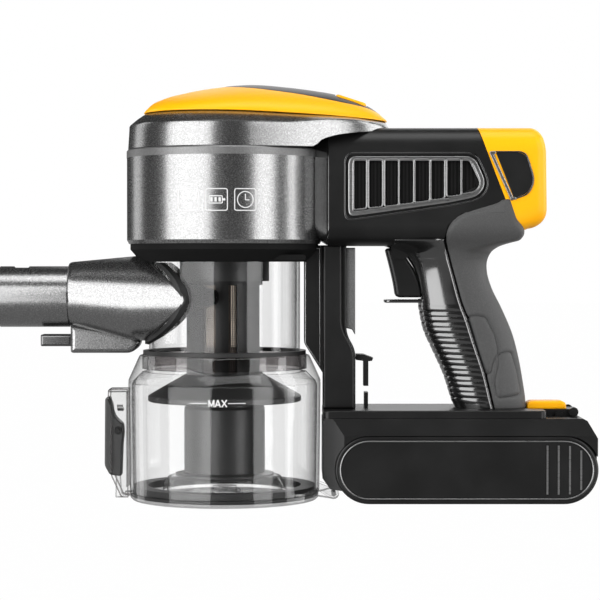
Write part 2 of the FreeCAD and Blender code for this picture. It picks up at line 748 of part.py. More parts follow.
# ---- battery
def battery():
    left, right, half, top = s.battery_left, s.battery_right, s.battery_half, s.battery_top
    tall = s.pill_height
    piece = Piece("battery_case")
    piece.pad("XZ", [[
        (left, top - 2), (left, 16), (left + 5, 9.2), (left + 15, 8.4), (left + 25, 1), (right - 22, 1),
        (right - 0.8, tall / 2, right - 7, 7.2), (right - 0.8, top - 12.5), (right - 7, top - 1.4),
        (right - 10, top), (left + 2, top),
    ]], -half, half)
    wedge = [
        [(half - 5, top + 0.5), (half + 1, top + 0.5), (half + 1, tall), (half, tall)],
        [(-(half - 5), top + 0.5), (-(half + 1), top + 0.5), (-(half + 1), tall), (-half, tall)],
    ]
    piece.pocket("YZ", wedge, 0, 300)
    corner = [
        (left - 1, half + 1), (left - 1, half - 9), (left, half - 9), (left + 14, half),
        (left + 14, half + 1),
    ]
    piece.pocket("XY", [corner, [(x, -size(y)) for x, y in corner]], -10, 100)
    recess = stadium_loop(s.pill_left - 0.1, -0.1, right + 1, tall + 0.1)
    piece.pocket("XZ", [recess], half - 5, half + 2)
    piece.pocket("XZ", [recess], -(half + 2), 5 - half)
    cavity = stadium_loop(s.pill_left + 3.2, 3.2, right - 3.2, tall - 3.2)
    piece.pocket("XZ", [cavity], -(half - 4), half - 4)
    piece.pocket("XZ", [rectangle(150, tall - 12, 226, tall + 4)], -27, 27)
    for sign in (-1, 1):
        a, b, c = sign * 15.5, sign * 20.5, sign * 23.5
        piece.pocket("XY", [rectangle(left - 2, min(a, b), 191, max(a, b))], top - 6.2, top + 1)
        piece.pocket("XY", [rectangle(left - 2, min(a, c), 191, max(a, c))], top - 6.2, top - 3.0)
    for y in (-7, 0, 7):
        piece.pocket("XY", [rectangle(left - 2, y - 1.2, 96, y + 1.2)], top - 6, top + 1)
    keep(piece)
    cover = Piece("battery_covers")
    for sign in (1, -1):
        span = (half - 5, half) if sign > 0 else (-half, 5 - half)
        cover.pad("XZ", [stadium_loop(s.pill_left, 0, right, tall)], *span)
    cover.soften(1.6, lambda p, b: abs(abs(p.y) - half.value) < 0.01)
    for sign in (1, -1):
        dip = (half - 1.0, half + 1) if sign > 0 else (-(half + 1), 1.0 - half)
        cover.pocket("XZ", [stadium_loop(s.pill_left + 3, 3, right - 3, tall - 3)], *dip)
    keep(cover)
    ribs = Piece("battery_ribs")
    for span in ((half - 1.0, half - 0.3), (0.3 - half, 1.0 - half)):
        for i, (low, high) in enumerate(((6.4, 38.2), (6.4, 38.2), (6.6, 37.9), (9.4, 35.0))):
            x = right - 33.5 + 7.3 * i
            ribs.pad("XZ", [rectangle(x - 0.6, low, x + 0.6, high)], *span)
    keep(ribs)
    cells_and_board(piece)
    battery_clip()


def cells_and_board(case):
    half, tall = s.battery_half, s.pill_height
    first, pitch = s.pill_left + 24, 20.6
    spots = [(first + pitch * i, tall / 2 + (3.5 if i % 2 else -3.5)) for i in range(7)]
    cells = Piece("battery_cells")
    for x, z in spots:
        cells.pad("XZ", [("circle", x, z, s.cell_radius)], -s.cell_length / 2, s.cell_length / 2)
    holders = Piece("cell_holders")
    for low, high in ((22, 26), (-26, -22)):
        outer = stadium_loop(s.pill_left + 3.3, 3.3, s.battery_right - 3.3, tall - 3.3)
        holders.pad("XZ", [outer] + [("circle", x, z, s.cell_radius + 0.1) for x, z in spots], low, high)
    keep(holders)
    reach = s.cell_length / 2
    for start, (low, high) in ((0, (reach, reach + 0.3)), (1, (-(reach + 0.3), -reach))):
        for i in range(start, 6, 2):
            (x0, z0), (x1, z1) = spots[i], spots[i + 1]
            strap = [(x0 - 4, z0 - 4), (x1 + 4, z1 - 4), (x1 + 4, z1 + 4), (x0 - 4, z0 + 4)]
            cells.pad("XZ", [strap], low, high)
    keep(cells)
    board = Piece("battery_board")
    board.pad("XY", [rectangle(152, -26.9, 224, 26.9)], tall - 2.6, tall - 1.0)
    board.pad("XY", [rectangle(160, -10, 172, -2)], tall - 1.0, tall + 1.4)
    board.pad("XY", [rectangle(186, 3, 202, 15)], tall - 1.0, tall + 2.0)
    keep(board)


def battery_clip():
    top = s.battery_top
    piece = Piece("battery_clip")
    piece.pad("XY", [rounded(199, -12, 234.4, 12, 4)], top, top + 4.8)
    piece.pocket("XY", [rounded(200.4, -8.4, 227.6, 8.4, 2.4)], top + 1.4, top + 6)
    piece.pad("XZ", [("circle", 231, top + 3.1, 3.0)], -15.5, -12)
    piece.pad("XZ", [("circle", 231, top + 3.1, 3.0)], 12, 15.5)
    piece.pad("XZ", [rectangle(219, top, 224, top + 2.4)], -14, -12)
    keep(piece)
    button = Piece("battery_button")
    button.pad("XY", [rounded(200.8, -8, 227.2, 8, 2)], top + 3.9, top + 9.9)
    button.soften(1.0, lambda p, b: abs(p.z - top.value - 9.9) < 0.01)
    for i in range(5):
        button.pocket("XY", [rectangle(205.6 + 3.8 * i, -6, 207.2 + 3.8 * i, 6)], top + 9.2, top + 11)
    keep(button)


# ---- dust bin
def bin_shells():
    wall = s.cup_wall
    chamber = Piece("upper_chamber")
    r = s.chamber_radius
    chamber.spin([tube_loop(r - wall, r, s.chamber_bottom, s.chamber_top)])
    chamber.pocket("YZ", [("circle", 0, s.tube_height, s.tube_bore)], -(r + 10), -(r - 20))
    keep(chamber)
    seal = Piece("chamber_seal")
    seal.spin([tube_loop(r - wall - 0.6, s.neck_radius - 0.5, s.chamber_bottom - 2.7, s.chamber_bottom)])
    keep(seal)
    band = Piece("smoked_ring")
    n = s.neck_radius
    band.spin([[
        (n - 3.4, s.neck_bottom), (n, s.neck_bottom), (n, s.chamber_bottom - 2.7),
        (n - 3.4, s.chamber_bottom - 2.7),
    ]])
    keep(band)
    cup = Piece("dust_cup")
    c, low, knee, neck = s.cup_radius, s.cup_bottom, s.cup_shoulder, s.neck_bottom
    cup.spin([[
        (c - 0.8 - wall, low), (c - 0.8, low), (c, knee),
        (n + 1.9, neck + 8.8, c - 2.6, neck + 1.6), (n + 0.02, neck + 8.8), (n + 0.02, neck - 0.02),
        (n - 3.4, neck - 0.02), (n - 3.4, neck - 2.2), (n - 0.4, neck - 2.2),
        (c - wall, knee - 3, c - wall - 3.4, neck - 4.4),
    ]])
    for y in (-8.6, 5.6):
        cup.pad("XZ", [[
            (c - 2.4, low + 6), (c - 2.4, low), (c - 0.8, low), (s.hinge_reach - 2.2, s.hinge_height - 3.1),
            (s.hinge_reach + 3.8, s.hinge_height, s.hinge_reach + 2.6, s.hinge_height - 2.7),
            (s.hinge_reach - 1, s.hinge_height + 3.6, s.hinge_reach + 2.4, s.hinge_height + 3),
        ]], y, y + 3)
    cup.pocket("XZ", [("circle", s.hinge_reach, s.hinge_height, s.pin_radius)], -20, 20)
    keep(cup)
    pin = Piece("hinge_pin", (s.hinge_reach, 0, s.hinge_height))
    pin.pad("XZ", [("circle", 0, 0, s.pin_radius)], -9.2, 9.2)
    keep(pin)


def ellipse_wire(x, centre, across, up):
    turned = Part.Ellipse(Vector(0, across, 0), Vector(0, 0, up), Vector(0, 0, 0))
    if up > across:
        turned = Part.Ellipse(Vector(0, 0, up), Vector(0, across, 0), Vector(0, 0, 0))
    edge = turned.toShape()
    edge.translate(Vector(x, 0, centre))
    return Part.Wire([edge])


def inlet_form(label, grow, end=-8.0):
    # a duct that spreads sideways until it meets the round chamber
    x0, x1 = s.inlet_face.value, -56.0
    z = s.tube_height.value
    stations = []
    for share in (0.0, 0.35, 0.7, 1.0):
        ease = share * share * (3 - 2 * share)
        x = x0 + (x1 - x0) * share
        stations.append((x, z + 0.9 - 1.2 * share, 21.4 + 23.6 * ease, 21.3 + 6.8 * share))
    stations.append((end, z - 0.3, 45.5, 28.3))
    wires = [ellipse_wire(x, c, a + grow, u + grow) for x, c, a, u in stations]
    return solid(label, Part.makeLoft(wires, True, False))


def inlet():
    z = s.tube_height
    near = Piece("chamber_core")
    near.pad("XY", [("circle", 0, 0, s.chamber_radius)], 60, 200)
    near.pad("XY", [("circle", 0, 0, s.chamber_radius + 12)], z + 22.8, 200)
    outer = combine("Cut", "inlet_outer_cut", inlet_form("inlet_outer", 0), near.body)
    trim = prism("inlet_keep", rectangle(-110, 60, -15, 200), -60, 60)
    outer = combine("MultiCommon", "inlet_block", outer, trim)
    room = combine("MultiCommon", "inlet_room", inlet_form("inlet_inner", -2.6), prism(
        "inlet_room_zone", rectangle(s.inlet_face + 3, 60, 0, 200), -60, 60))
    mouth = Piece("inlet_mouth")
    mouth.pad("YZ", [("circle", 0, z, s.tube_bore)], s.inlet_face - 1, s.inlet_face + 6)
    hollow = combine("Cut", "inlet_hollow", outer, room)
    keep(combine("Cut", "inlet_housing", hollow, mouth.body))
    band = Piece("gasket_band")
    rings = [("circle", 0, 0, s.chamber_radius + 2.6), ("circle", 0, 0, s.chamber_radius)]
    band.pad("XY", rings, 90, z + 22.7)
    rim = combine("MultiCommon", "gasket_rim", inlet_form("inlet_wide", 2.6), band.body)
    rim = combine("MultiCommon", "gasket_left", rim, prism(
        "gasket_keep", rectangle(-110, 60, -12, 200), -60, 60))
    keep(combine("Cut", "inlet_gasket", rim, inlet_form("inlet_fill", 0)))
    tube = Piece("inlet_tube")
    r, mouth = s.tube_radius, s.tube_end
    tube.pad("YZ", [("circle", 0, z, r), ("circle", 0, z, s.tube_bore)], mouth, s.inlet_face)
    tube.pocket("XY", [rectangle(mouth + 8.7, -6, mouth + 19.3, 6)], z + r - 1.2, z + r + 2)
    tube.pad("XZ", [rectangle(mouth + 7, z - 2.6, s.inlet_face - 1.6, z + 1.2)], -(r + 1.2), -(r - 0.6))
    tube.pad("XZ", [rectangle(s.inlet_face - 3.2, z - 3.6, s.inlet_face, z + 3.4)], -(r + 1.8), -(r - 0.6))
    keep(tube)
    boss = Piece("contact_block")
    boss.pad("XZ", [[
        (s.inlet_face + 0.8, z - 22), (s.inlet_face + 0.8, 97.4), (s.inlet_face + 2.8, 96.9), (-58, 96.9),
        (-54.6, 99.4), (-54.6, z - 28.6), (-62, z - 28.2), (-84, z - 25.4),
    ]], -10, 10)
    boss.pocket("XY", [("circle", 0, 0, s.neck_radius + 0.3)], 80, 125)
    keep(boss)
    plug = Piece("contact_plug")
    plug.pad("YZ", [rounded(-8, 101.2, 8, 109.4, 2)], s.inlet_face - 19, s.inlet_face + 0.8)
    plug.pocket("YZ", [rounded(-6.6, 102.6, 6.6, 108, 1)], s.inlet_face - 20, s.inlet_face - 6)
    for y in (-3.5, 3.5):
        plug.pad("YZ", [("circle", y, 105.3, 1.2)], s.inlet_face - 16, s.inlet_face - 6)
    keep(plug)


# openings in the screen's frame, each from one turn to the next in degrees, from the front
# towards the handle; the back mirrors the front
screen_windows = [(-35, -12), (8, 21), (66, 114), (159, 172), (192, 215), (246, 268)]


def wedge(near, far, start, end):
    corners = []
    for reach, turn in ((near, start), (far, start), (far, end), (near, end)):
        angle = math.radians(turn)
        corners.append((reach * math.sin(angle), -(reach * math.cos(angle))))
    return corners


def cyclone():
    top, bottom, r = s.screen_top, s.screen_bottom, s.screen_radius
    collar = Piece("cyclone_collar")
    wide = s.chamber_radius - s.cup_wall
    collar.spin([[
        (r - 3, top), (s.collar_radius, top), (s.collar_radius, top + 13.5), (wide, top + 13.5),
        (wide, top + 16.5), (18, top + 16.5), (18, top + 13.5), (r - 3, top + 13.5),
    ]])
    keep(collar)
    frame = Piece("cyclone_frame")
    frame.spin([tube_loop(r - 2.6, r, bottom, top)])
    frame.pocket("XY", [wedge(r - 6, r + 4, *sides) for sides in screen_windows], bottom + 2.5, top - 2.5)
    keep(frame)
    screen = Piece("cyclone_screen")
    screen.spin([tube_loop(r - 3.2, r - 2.65, bottom, top)])
    keep(screen)
    skirt = Piece("cyclone_skirt")
    k, c = s.skirt_radius, s.cone_radius
    skirt.spin([[
        (c - 6, bottom), (r + 0.7, bottom), (k, bottom - 11.3, k - 6.6, bottom - 3.6), (k, bottom - 17.3),
        (k - 1.6, bottom - 17.3), (k - 1.6, bottom - 12.4), (r + 0.7, bottom - 2.4, k - 7.8, bottom - 5.4),
        (c - 6, bottom - 2.4),
    ]])
    keep(skirt)
    cone = Piece("cyclone_cone")
    low = s.cone_bottom
    cone.spin([[
        (c - 2, low), (c + 5.8, low), (c + 5.8, low + 1.2), (c, low + 2.4), (c, bottom - 22),
        (c - 1.2, bottom - 20), (c - 1.2, bottom - 2.4), (c - 3.2, bottom - 2.4), (c - 3.2, bottom - 21),
        (c - 2, low + 10),
    ]])
    keep(cone)


def latch():
    x, z = s.latch_reach, s.latch_height
    wall = s.cup_radius
    housing = Piece("latch_housing")
    housing.pad("XZ", [[
        (-(wall - 1.0), z + 27.8), (x - 7, z + 27.8), (x - 7, z + 25), (x + 1.6, z + 22.4),
        (x + 1.6, z + 8), (x + 3.9, z + 8), (x + 3.9, z - 30), (-(wall - 1.0), z - 31),
    ]], -9.5, 9.5)
    for low in (-9.5, 7.3):
        housing.pad("XZ", [[
            (x + 5, z - 31), (x + 4.2, z + 9), (x + 1.6, z + 10), (x - 4.6, z + 5), (x - 4.6, z - 28),
        ]], low, low + 2.2)
    housing.pocket("XY", [("circle", 0, 0, wall - 0.04)], 0, 200)
    housing.pocket("XZ", [("circle", x, z, s.pin_radius)], -20, 20)
    keep(housing)
    pin = Piece("latch_pin", (x, 0, z))
    pin.pad("XZ", [("circle", 0, 0, s.pin_radius)], -9.5, 9.5)
    keep(pin)
    lever = Piece("bin_latch")
    lever.pad("XZ", [[
        (x - 2.6, z + 20.6), (x - 7.4, z + 22.4), (x - 9.0, z + 20.0), (x - 9.0, z - 27),
        (x - 5.2, z - 31), (x - 2.8, 0.4), (x + 2.6, 0.4), (x + 3.4, 1.8), (x + 1.8, 3.2), (x + 1.2, 5.6),
        (x - 1.2, z - 30), (x - 2.6, z - 12), (x + 3.0, z - 4), (x + 3.0, z + 3.4), (x - 2.6, z + 6),
    ]], -6.8, 6.8)
    lever.pocket("XZ", [("circle", x, z, s.pin_radius + s.play)], -20, 20)
    keep(lever)


def bin_lid():
    r, high = s.lid_radius, s.lid_height
    lid = Piece("bin_lid")
    lid.spin([[
        (0, 0), (r - 1.4, 0), (r, 1.4), (r, high), (41.6, high), (40.4, high + 5), (37.6, 14.6),
        (36.0, 14.6), (38.6, high + 2), (38.6, 3), (0, 3),
    ]])
    lid.spin([[(0, 3), (8, 3), (8, 8.2), (0, 8.2)]])
    lid.pad("XZ", [[
        (r - 2.6, high - 0.2), (r - 2.6, 1.6), (s.hinge_reach - 1.4, s.hinge_height - 3.4),
        (s.hinge_reach + 3.6, s.hinge_height, s.hinge_reach + 2.5, s.hinge_height - 2.6),
        (s.hinge_reach - 1.4, s.hinge_height + 3.4, s.hinge_reach + 2.3, s.hinge_height + 2.8),
        (s.cup_radius, high),
    ]], -5.2, 5.2)
    lid.pocket("XZ", [("circle", s.hinge_reach, s.hinge_height, s.pin_radius + s.play)], -20, 20)
    lid.pad("XZ", [[
        (-(r - 2), 1.2), (-(r - 2), high - 0.4), (s.latch_reach + 4.2, high - 0.4),
        (s.latch_reach + 4.2, 2.0), (s.latch_reach + 5.4, 2.0),
    ]], -6, 6)
    keep(lid)
    gasket = Piece("lid_gasket")
    inner = s.cup_radius - 0.8 - s.cup_wall - 0.6
    gasket.spin([[(inner - 9.6, high), (inner, high), (inner, high + 4.4), (inner - 9.6, high + 4.4)]])
    keep(gasket)


def build():
    for make in (
        motor_housing, trim_band, upper_housing, bayonet_collar, motor_unit, top_cover, handle,
        barrel_collar, trigger_group, spine, foot_plate, case_screws, battery, bin_shells, inlet,
        cyclone, latch, bin_lid,
    ):
        make()
        document.recompute()
        print("made", make.__name__)


def export():
    os.makedirs("parts", exist_ok=True)
    wrong = []
    for thing in document.Objects:
        if any(state in ("Invalid", "Error") for state in thing.State):
            wrong.append(f"{thing.Name}: {thing.State}")
    for label, thing in nodes.items():
        shape = thing.Shape
        if shape.isNull() or not shape.isValid() or not shape.Solids:
            wrong.append(f"{label}: null or invalid shape")
    if wrong:
        raise SystemExit("\n".join(wrong))
    for label, thing in nodes.items():
        thing.Label = label
        thing.Shape.exportStep(f"parts/{label}.step")
    print(len(nodes), "sub-parts written")


build()
export()
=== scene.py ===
import json
import math
from functools import partialmethod
import bmesh
import bpy
import numpy as np
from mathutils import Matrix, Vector


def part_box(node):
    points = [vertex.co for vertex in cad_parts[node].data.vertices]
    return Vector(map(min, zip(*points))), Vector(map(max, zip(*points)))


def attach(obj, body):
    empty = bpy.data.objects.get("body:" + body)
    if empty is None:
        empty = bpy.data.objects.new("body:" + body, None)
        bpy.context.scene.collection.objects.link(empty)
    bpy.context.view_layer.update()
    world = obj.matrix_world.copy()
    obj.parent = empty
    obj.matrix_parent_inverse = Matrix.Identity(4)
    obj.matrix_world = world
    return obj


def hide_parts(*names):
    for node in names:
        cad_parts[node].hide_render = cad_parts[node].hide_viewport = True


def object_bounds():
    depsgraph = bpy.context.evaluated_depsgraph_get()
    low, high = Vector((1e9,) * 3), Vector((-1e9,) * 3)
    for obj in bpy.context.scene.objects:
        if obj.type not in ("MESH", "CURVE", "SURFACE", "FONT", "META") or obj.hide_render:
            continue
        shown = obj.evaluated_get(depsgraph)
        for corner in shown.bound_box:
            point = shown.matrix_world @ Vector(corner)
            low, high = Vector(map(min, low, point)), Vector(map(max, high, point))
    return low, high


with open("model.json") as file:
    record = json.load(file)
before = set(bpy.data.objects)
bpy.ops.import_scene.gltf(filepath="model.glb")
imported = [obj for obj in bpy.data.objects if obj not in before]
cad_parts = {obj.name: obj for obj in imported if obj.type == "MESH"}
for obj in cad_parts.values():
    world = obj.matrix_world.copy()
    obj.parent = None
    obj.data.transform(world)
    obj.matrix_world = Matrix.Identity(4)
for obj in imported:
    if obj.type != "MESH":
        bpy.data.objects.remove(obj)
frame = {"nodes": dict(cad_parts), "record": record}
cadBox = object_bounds()
millimetre = 0.001


# a socket that takes part in arithmetic: each operator adds its Math node
class Wire:
    def __init__(self, board, socket):
        self.board, self.socket = board, socket

    def work(self, operation, other=None, clamp=False):
        sockets = {0: self} if other is None else {0: self, 1: other}
        return self.board.node("ShaderNodeMath", {"operation": operation, "use_clamp": clamp}, sockets)

    def clamped(self):
        return self.work("ADD", 0.0, clamp=True)

    def wave(self, length):
        # 0 to 1 and back once in every length
        return (self * (2 * math.pi / length)).work("SINE") * 0.5 + 0.5

    def repeat(self, length):
        return self.work("PINGPONG", length)

    def ramp(self, low, high):
        # 0 below low, 1 above high, smooth between
        return self.board.node(
            "ShaderNodeMapRange", {"interpolation_type": "SMOOTHSTEP"},
            {"Value": self, "From Min": low, "From Max": high})

    def parts(self):
        split = self.board.raw("ShaderNodeSeparateXYZ", {}, {0: self})
        return [Wire(self.board, output) for output in split.outputs]


operators = {
    "add": "ADD", "radd": "ADD", "sub": "SUBTRACT", "mul": "MULTIPLY", "rmul": "MULTIPLY",
    "truediv": "DIVIDE", "pow": "POWER", "gt": "GREATER_THAN",
}
for sign, operation in operators.items():
    setattr(Wire, f"__{sign}__", partialmethod(Wire.work, operation))


# one material's node tree; node() adds any node, sets it up and gives its first output
class Board:
    def __init__(self, name):
        self.material = bpy.data.materials.new(name)
        self.material.use_nodes = True
        self.tree = self.material.node_tree
        self.tree.nodes.clear()

    def raw(self, kind, settings, sockets):
        node = self.tree.nodes.new(kind)
        for key, value in settings.items():
            setattr(node, key, value)
        for key, value in sockets.items():
            if isinstance(value, Wire):
                self.tree.links.new(value.socket, node.inputs[key])
            else:
                node.inputs[key].default_value = value
        return node

    def node(self, kind, settings=None, sockets=None, output=0):
        return Wire(self, self.raw(kind, settings or {}, sockets or {}).outputs[output])

    def place(self):
        return self.node("ShaderNodeTexCoord", output="Object")

    def noise(self, scale, detail=2.0, stretch=(1, 1, 1), roughness=0.5):
        where = self.node("ShaderNodeMapping", {}, {"Vector": self.place(), "Scale": stretch})
        return self.node("ShaderNodeTexNoise", {}, {
            "Vector": where, "Scale": scale, "Detail": detail, "Roughness": roughness})

    def cells(self, scale, feature="F1"):
        return self.node("ShaderNodeTexVoronoi", {"feature": feature}, {
            "Vector": self.place(), "Scale": scale})

    def mix(self, share, low, high):
        sockets = {0: share, 6: low, 7: high}
        return self.node("ShaderNodeMix", {"data_type": "RGBA"}, sockets, output=2)

    def bump(self, height, strength, distance):
        return self.node("ShaderNodeBump", {}, {
            "Height": height, "Strength": strength, "Distance": distance * millimetre})

    def surface(self, **sockets):
        names = {key: key.replace("_", " ").title().replace("Ior", "IOR") for key in sockets}
        shader = self.node("ShaderNodeBsdfPrincipled", {}, {
            names[key]: value for key, value in sockets.items()})
        return self.finish(shader)

    def finish(self, shader):
        self.raw("ShaderNodeOutputMaterial", {}, {"Surface": shader})
        return self.material


def grey(level):
    return (level, level, level, 1)


# metallic paint of the motor housing and inlet
graphite = {"dark": 0.17, "bright": 0.42, "fleck": 3600, "metal": 0.95, "rough": 0.25}


def graphiteFinish():
    # metallic paint: fine flecks of two sizes over a dark base
    board = Board("graphite")
    fine = board.noise(graphite["fleck"], 3).ramp(0.40, 0.68)
    coarse = board.noise(graphite["fleck"] / 3.2, 2).ramp(0.45, 0.75)
    colour = board.mix(
        (fine * 0.7 + coarse * 0.35).clamped(), grey(graphite["dark"]), grey(graphite["bright"]))
    return board.surface(
        base_color=colour, metallic=graphite["metal"],
        roughness=graphite["rough"] + fine * 0.07 - 0.03,
        coat_weight=0.25, coat_roughness=0.22,
        normal=board.bump(fine + coarse * 0.5, 0.05, 0.03))


def lightTrimFinish():
    board = Board("lightTrim")
    fine = board.noise(2300, 3).ramp(0.35, 0.7)
    colour = board.mix(fine, grey(0.13), grey(0.24))
    return board.surface(
        base_color=colour, metallic=0.7, roughness=0.42 + fine * 0.06,
        normal=board.bump(fine, 0.1, 0.05))


def grainedFinish(name, low, high, scale, rough, spread, bump, detail=3, stretch=(1, 1, 1), span=None,
                  **more):
    # one noise drives the colour, the roughness and the bump; the span sharpens the colour
    board = Board(name)
    grain = board.noise(scale, detail, stretch)
    return board.surface(
        base_color=board.mix(grain.ramp(*span) if span else grain, low, high),
        roughness=rough + grain * spread, normal=board.bump(grain, *bump), **more)


# slot: material name, both ends of its colour, grain, roughness and its spread, bump
grained = {
    "print": ("printedWhite", grey(0.55), grey(0.72), 1500, 0.5, 0.1, (0.05, 0.02), {"detail": 2}),
    "deep_black": ("deepBlack", grey(0.002), grey(0.007), 900, 0.6, 0.2, (0.2, 0.05),
                   {"specular_ior_level": 0.12}),
    "seal_black": ("sealBlack", grey(0.004), grey(0.010), 900, 0.42, 0.15, (0.1, 0.05),
                   {"span": (0.3, 0.8)}),
    "silver_trim": ("silverTrim", grey(0.30), grey(0.46), 700, 0.24, 0.1, (0.04, 0.04),
                    {"detail": 2, "stretch": (0.2, 0.2, 4), "metallic": 1.0}),
    "steel": ("steel", grey(0.36), grey(0.6), 500, 0.26, 0.16, (0.08, 0.05),
              {"stretch": (0.2, 0.2, 5), "metallic": 1.0}),
    "brass": ("brass", (0.55, 0.36, 0.13, 1), (0.80, 0.60, 0.27, 1), 600, 0.22, 0.15, (0.06, 0.04),
              {"stretch": (5, 0.3, 0.3), "metallic": 1.0}),
    "white_pa": ("whiteNylon", grey(0.52), grey(0.68), 700, 0.45, 0.15, (0.08, 0.05), {}),
    "cell_wrap": ("cellWrap", (0.02, 0.16, 0.28, 1), (0.03, 0.24, 0.38, 1), 60, 0.25, 0.15,
                  (0.06, 0.1), {}),
}


def darkGreyFinish(name, low, high, rough):
    board = Board(name)
    grain = board.noise(1300, 3)
    haze = board.noise(35, 3)
    return board.surface(
        base_color=board.mix((grain * 0.5 + haze * 0.5).ramp(0.3, 0.75), grey(low), grey(high)),
        roughness=rough + grain * 0.1, normal=board.bump(grain, 0.12, 0.05))


def glossBlackFinish():
    board = Board("glossBlack")
    haze = board.noise(60, 4)
    colour = board.mix(haze.ramp(0.3, 0.8), grey(0.006), grey(0.012))
    return board.surface(
        base_color=colour, roughness=0.15 + haze * 0.06, specular_ior_level=0.8,
        coat_weight=1.0, coat_roughness=0.12, coat_ior=1.7,
        normal=board.bump(board.noise(900, 2), 0.02, 0.03))


def satinBlackFinish():
    # spark-eroded satin texture
    board = Board("satinBlack")
    grain = board.noise(1900, 3)
    haze = board.noise(30, 3)
    colour = board.mix(haze.ramp(0.3, 0.8), grey(0.004), grey(0.009))
    return board.surface(
        base_color=colour, roughness=0.30 + grain * 0.10 + haze * 0.05, specular_ior_level=0.32,
        normal=board.bump(grain, 0.15, 0.05))


yellow = {"pale": (0.95, 0.43, 0.0, 1), "deep": (0.90, 0.36, 0.0, 1)}


def yellowFinish():
    board = Board("yellow")
    haze = board.noise(18, 3)
    colour = board.mix(haze.ramp(0.25, 0.8), yellow["pale"], yellow["deep"])
    colour = board.mix(0.75, colour, yellow["pale"])
    return board.surface(
        base_color=colour, roughness=0.38 + haze * 0.06, specular_ior_level=0.25,
        normal=board.bump(board.noise(1800, 2), 0.015, 0.02))


def softGreyFinish():
    # leather-like grain of soft-touch rubber
    board = Board("softGrey")
    pebble = board.cells(1500)
    grain = board.noise(2600, 2)
    colour = board.mix((pebble * 0.8 + grain * 0.5).clamped(), grey(0.028), grey(0.060))
    return board.surface(
        base_color=colour, roughness=0.56 + grain * 0.18,
        sheen_weight=0.12, sheen_roughness=0.4,
        normal=board.bump(pebble + grain * 0.5, 0.45, 0.10))


clear = {"tint": 0.965, "edge": 0.92, "sharp": 3.4, "gloss": 0.026}


def clearLayer(name, tint, body, edge, sharp, warm=1.0):
    # clear plastic: see-through face on, a dark reflecting line where a wall turns edge on; the line is
    # partly the shell's real reflection of the dim studio and partly painted shade, as the shell's colour
    # is darkened towards the edge
    board = Board(name)
    facing = board.node("ShaderNodeLayerWeight", {}, {"Blend": 0.5}, output="Facing")
    smear = board.noise(26, 4, (1, 1, 0.25)).ramp(0.42, 0.8)
    through = board.node("ShaderNodeBsdfTransparent", {}, {
        "Color": (tint, tint * warm, tint * warm, 1)})
    # painted shade: the reflecting shell's colour falls to a quarter of its body as the wall turns edge
    # on
    shell = board.node("ShaderNodeBsdfPrincipled", {}, {
        "Base Color": board.mix(facing ** 2, grey(body), grey(body * 0.25)), "Metallic": 1.0,
        "Roughness": smear * 0.03 + 0.02})
    share = (facing ** sharp * edge + clear["gloss"]).clamped()
    return board.finish(board.node("ShaderNodeMixShader", {}, {0: share, 1: through, 2: shell}))


screen = {"pitch": 1.5, "wire": 0.24}


def meshFinish():
    # woven screen: square holes counted round the cylinder and up it
    board = Board("wovenScreen")
    x, y, z = board.place().parts()
    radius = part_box("cyclone_screen")[1].x
    turn = y.work("ARCTAN2", x) * radius
    pitch = screen["pitch"] * millimetre
    across = (turn + 1.0).repeat(pitch / 2) / (pitch / 2)
    up = (z + 1.0).repeat(pitch / 2) / (pitch / 2)
    hole = (across > screen["wire"]) * (up > screen["wire"])
    cloth = board.node("ShaderNodeBsdfPrincipled", {}, {
        "Base Color": board.mix(board.noise(300, 2), (0.05, 0.04, 0.035, 1), (0.11, 0.09, 0.08, 1)),
        "Metallic": 0.3, "Roughness": 0.5})
    open_ = board.node("ShaderNodeBsdfTransparent", {}, {"Color": (1.0, 0.965, 0.92, 1)})
    return board.finish(board.node("ShaderNodeMixShader", {}, {0: hole * 0.97, 1: cloth, 2: open_}))


def foamFinish():
    # pleated filter: folds along the length, dusty weave on them; its colour is painted shade, near black
    # for the shaded inside behind the vents and darker in the valleys of the folds than on their crests
    board = Board("pleatedFilter")
    foldAndShade = board.place().parts()[0].wave(2.6 * millimetre)
    weave = board.noise(1400, 3, (1, 1, 2))
    # painted shade: the fold wave lightens the crests of the pleats and darkens their valleys
    colour = board.mix((foldAndShade * 0.6 + weave * 0.5).clamped(), grey(0.002), grey(0.012))
    return board.surface(
        base_color=colour, roughness=0.85 + weave * 0.1, specular_ior_level=0.1,
        normal=board.bump(foldAndShade + weave * 0.4, 0.7, 0.5))


def boardFinish():
    board = Board("circuitBoard")
    tracks = board.cells(260, "DISTANCE_TO_EDGE").ramp(0.02, 0.06)
    colour = board.mix(tracks, (0.25, 0.30, 0.08, 1), (0.01, 0.09, 0.03, 1))
    return board.surface(
        base_color=colour, roughness=0.35 + board.noise(300, 2) * 0.2,
        normal=board.bump(tracks, 0.2, 0.05))


finishes = {
    "graphite": graphiteFinish(), "light_trim": lightTrimFinish(), "black_gloss": glossBlackFinish(),
    "black_satin": satinBlackFinish(), "yellow": yellowFinish(), "soft_grey": softGreyFinish(),
    "clear": clearLayer("clear", clear["tint"], 0.9, clear["edge"], clear["sharp"]),
    "smoked": clearLayer("smoked", 0.66, 0.7, 0.7, 3.0, 0.98),
    "funnel": clearLayer("smokedFunnel", 0.30, 0.35, 0.6, 2.0),
    "mesh": meshFinish(), "foam": foamFinish(), "board": boardFinish(),
    "latch_grey": darkGreyFinish("latchGrey", 0.022, 0.04, 0.38),
    "cyclone_grey": darkGreyFinish("cycloneGrey", 0.010, 0.018, 0.30),
}
for slot, (*values, more) in grained.items():
    finishes[slot] = grainedFinish(*values, **more)

# pieces whose look differs from their slot's
ownFinish = {
    "cyclone_skirt": "cyclone_grey", "cyclone_cone": "cyclone_grey", "cyclone_collar": "cyclone_grey",
    # latch_pin: painted shade, the steel pin is given black satin so that it reads as the dark hole of
    # the pivot
    "bayonet_collar": "deep_black", "latch_pin": "black_satin",
}

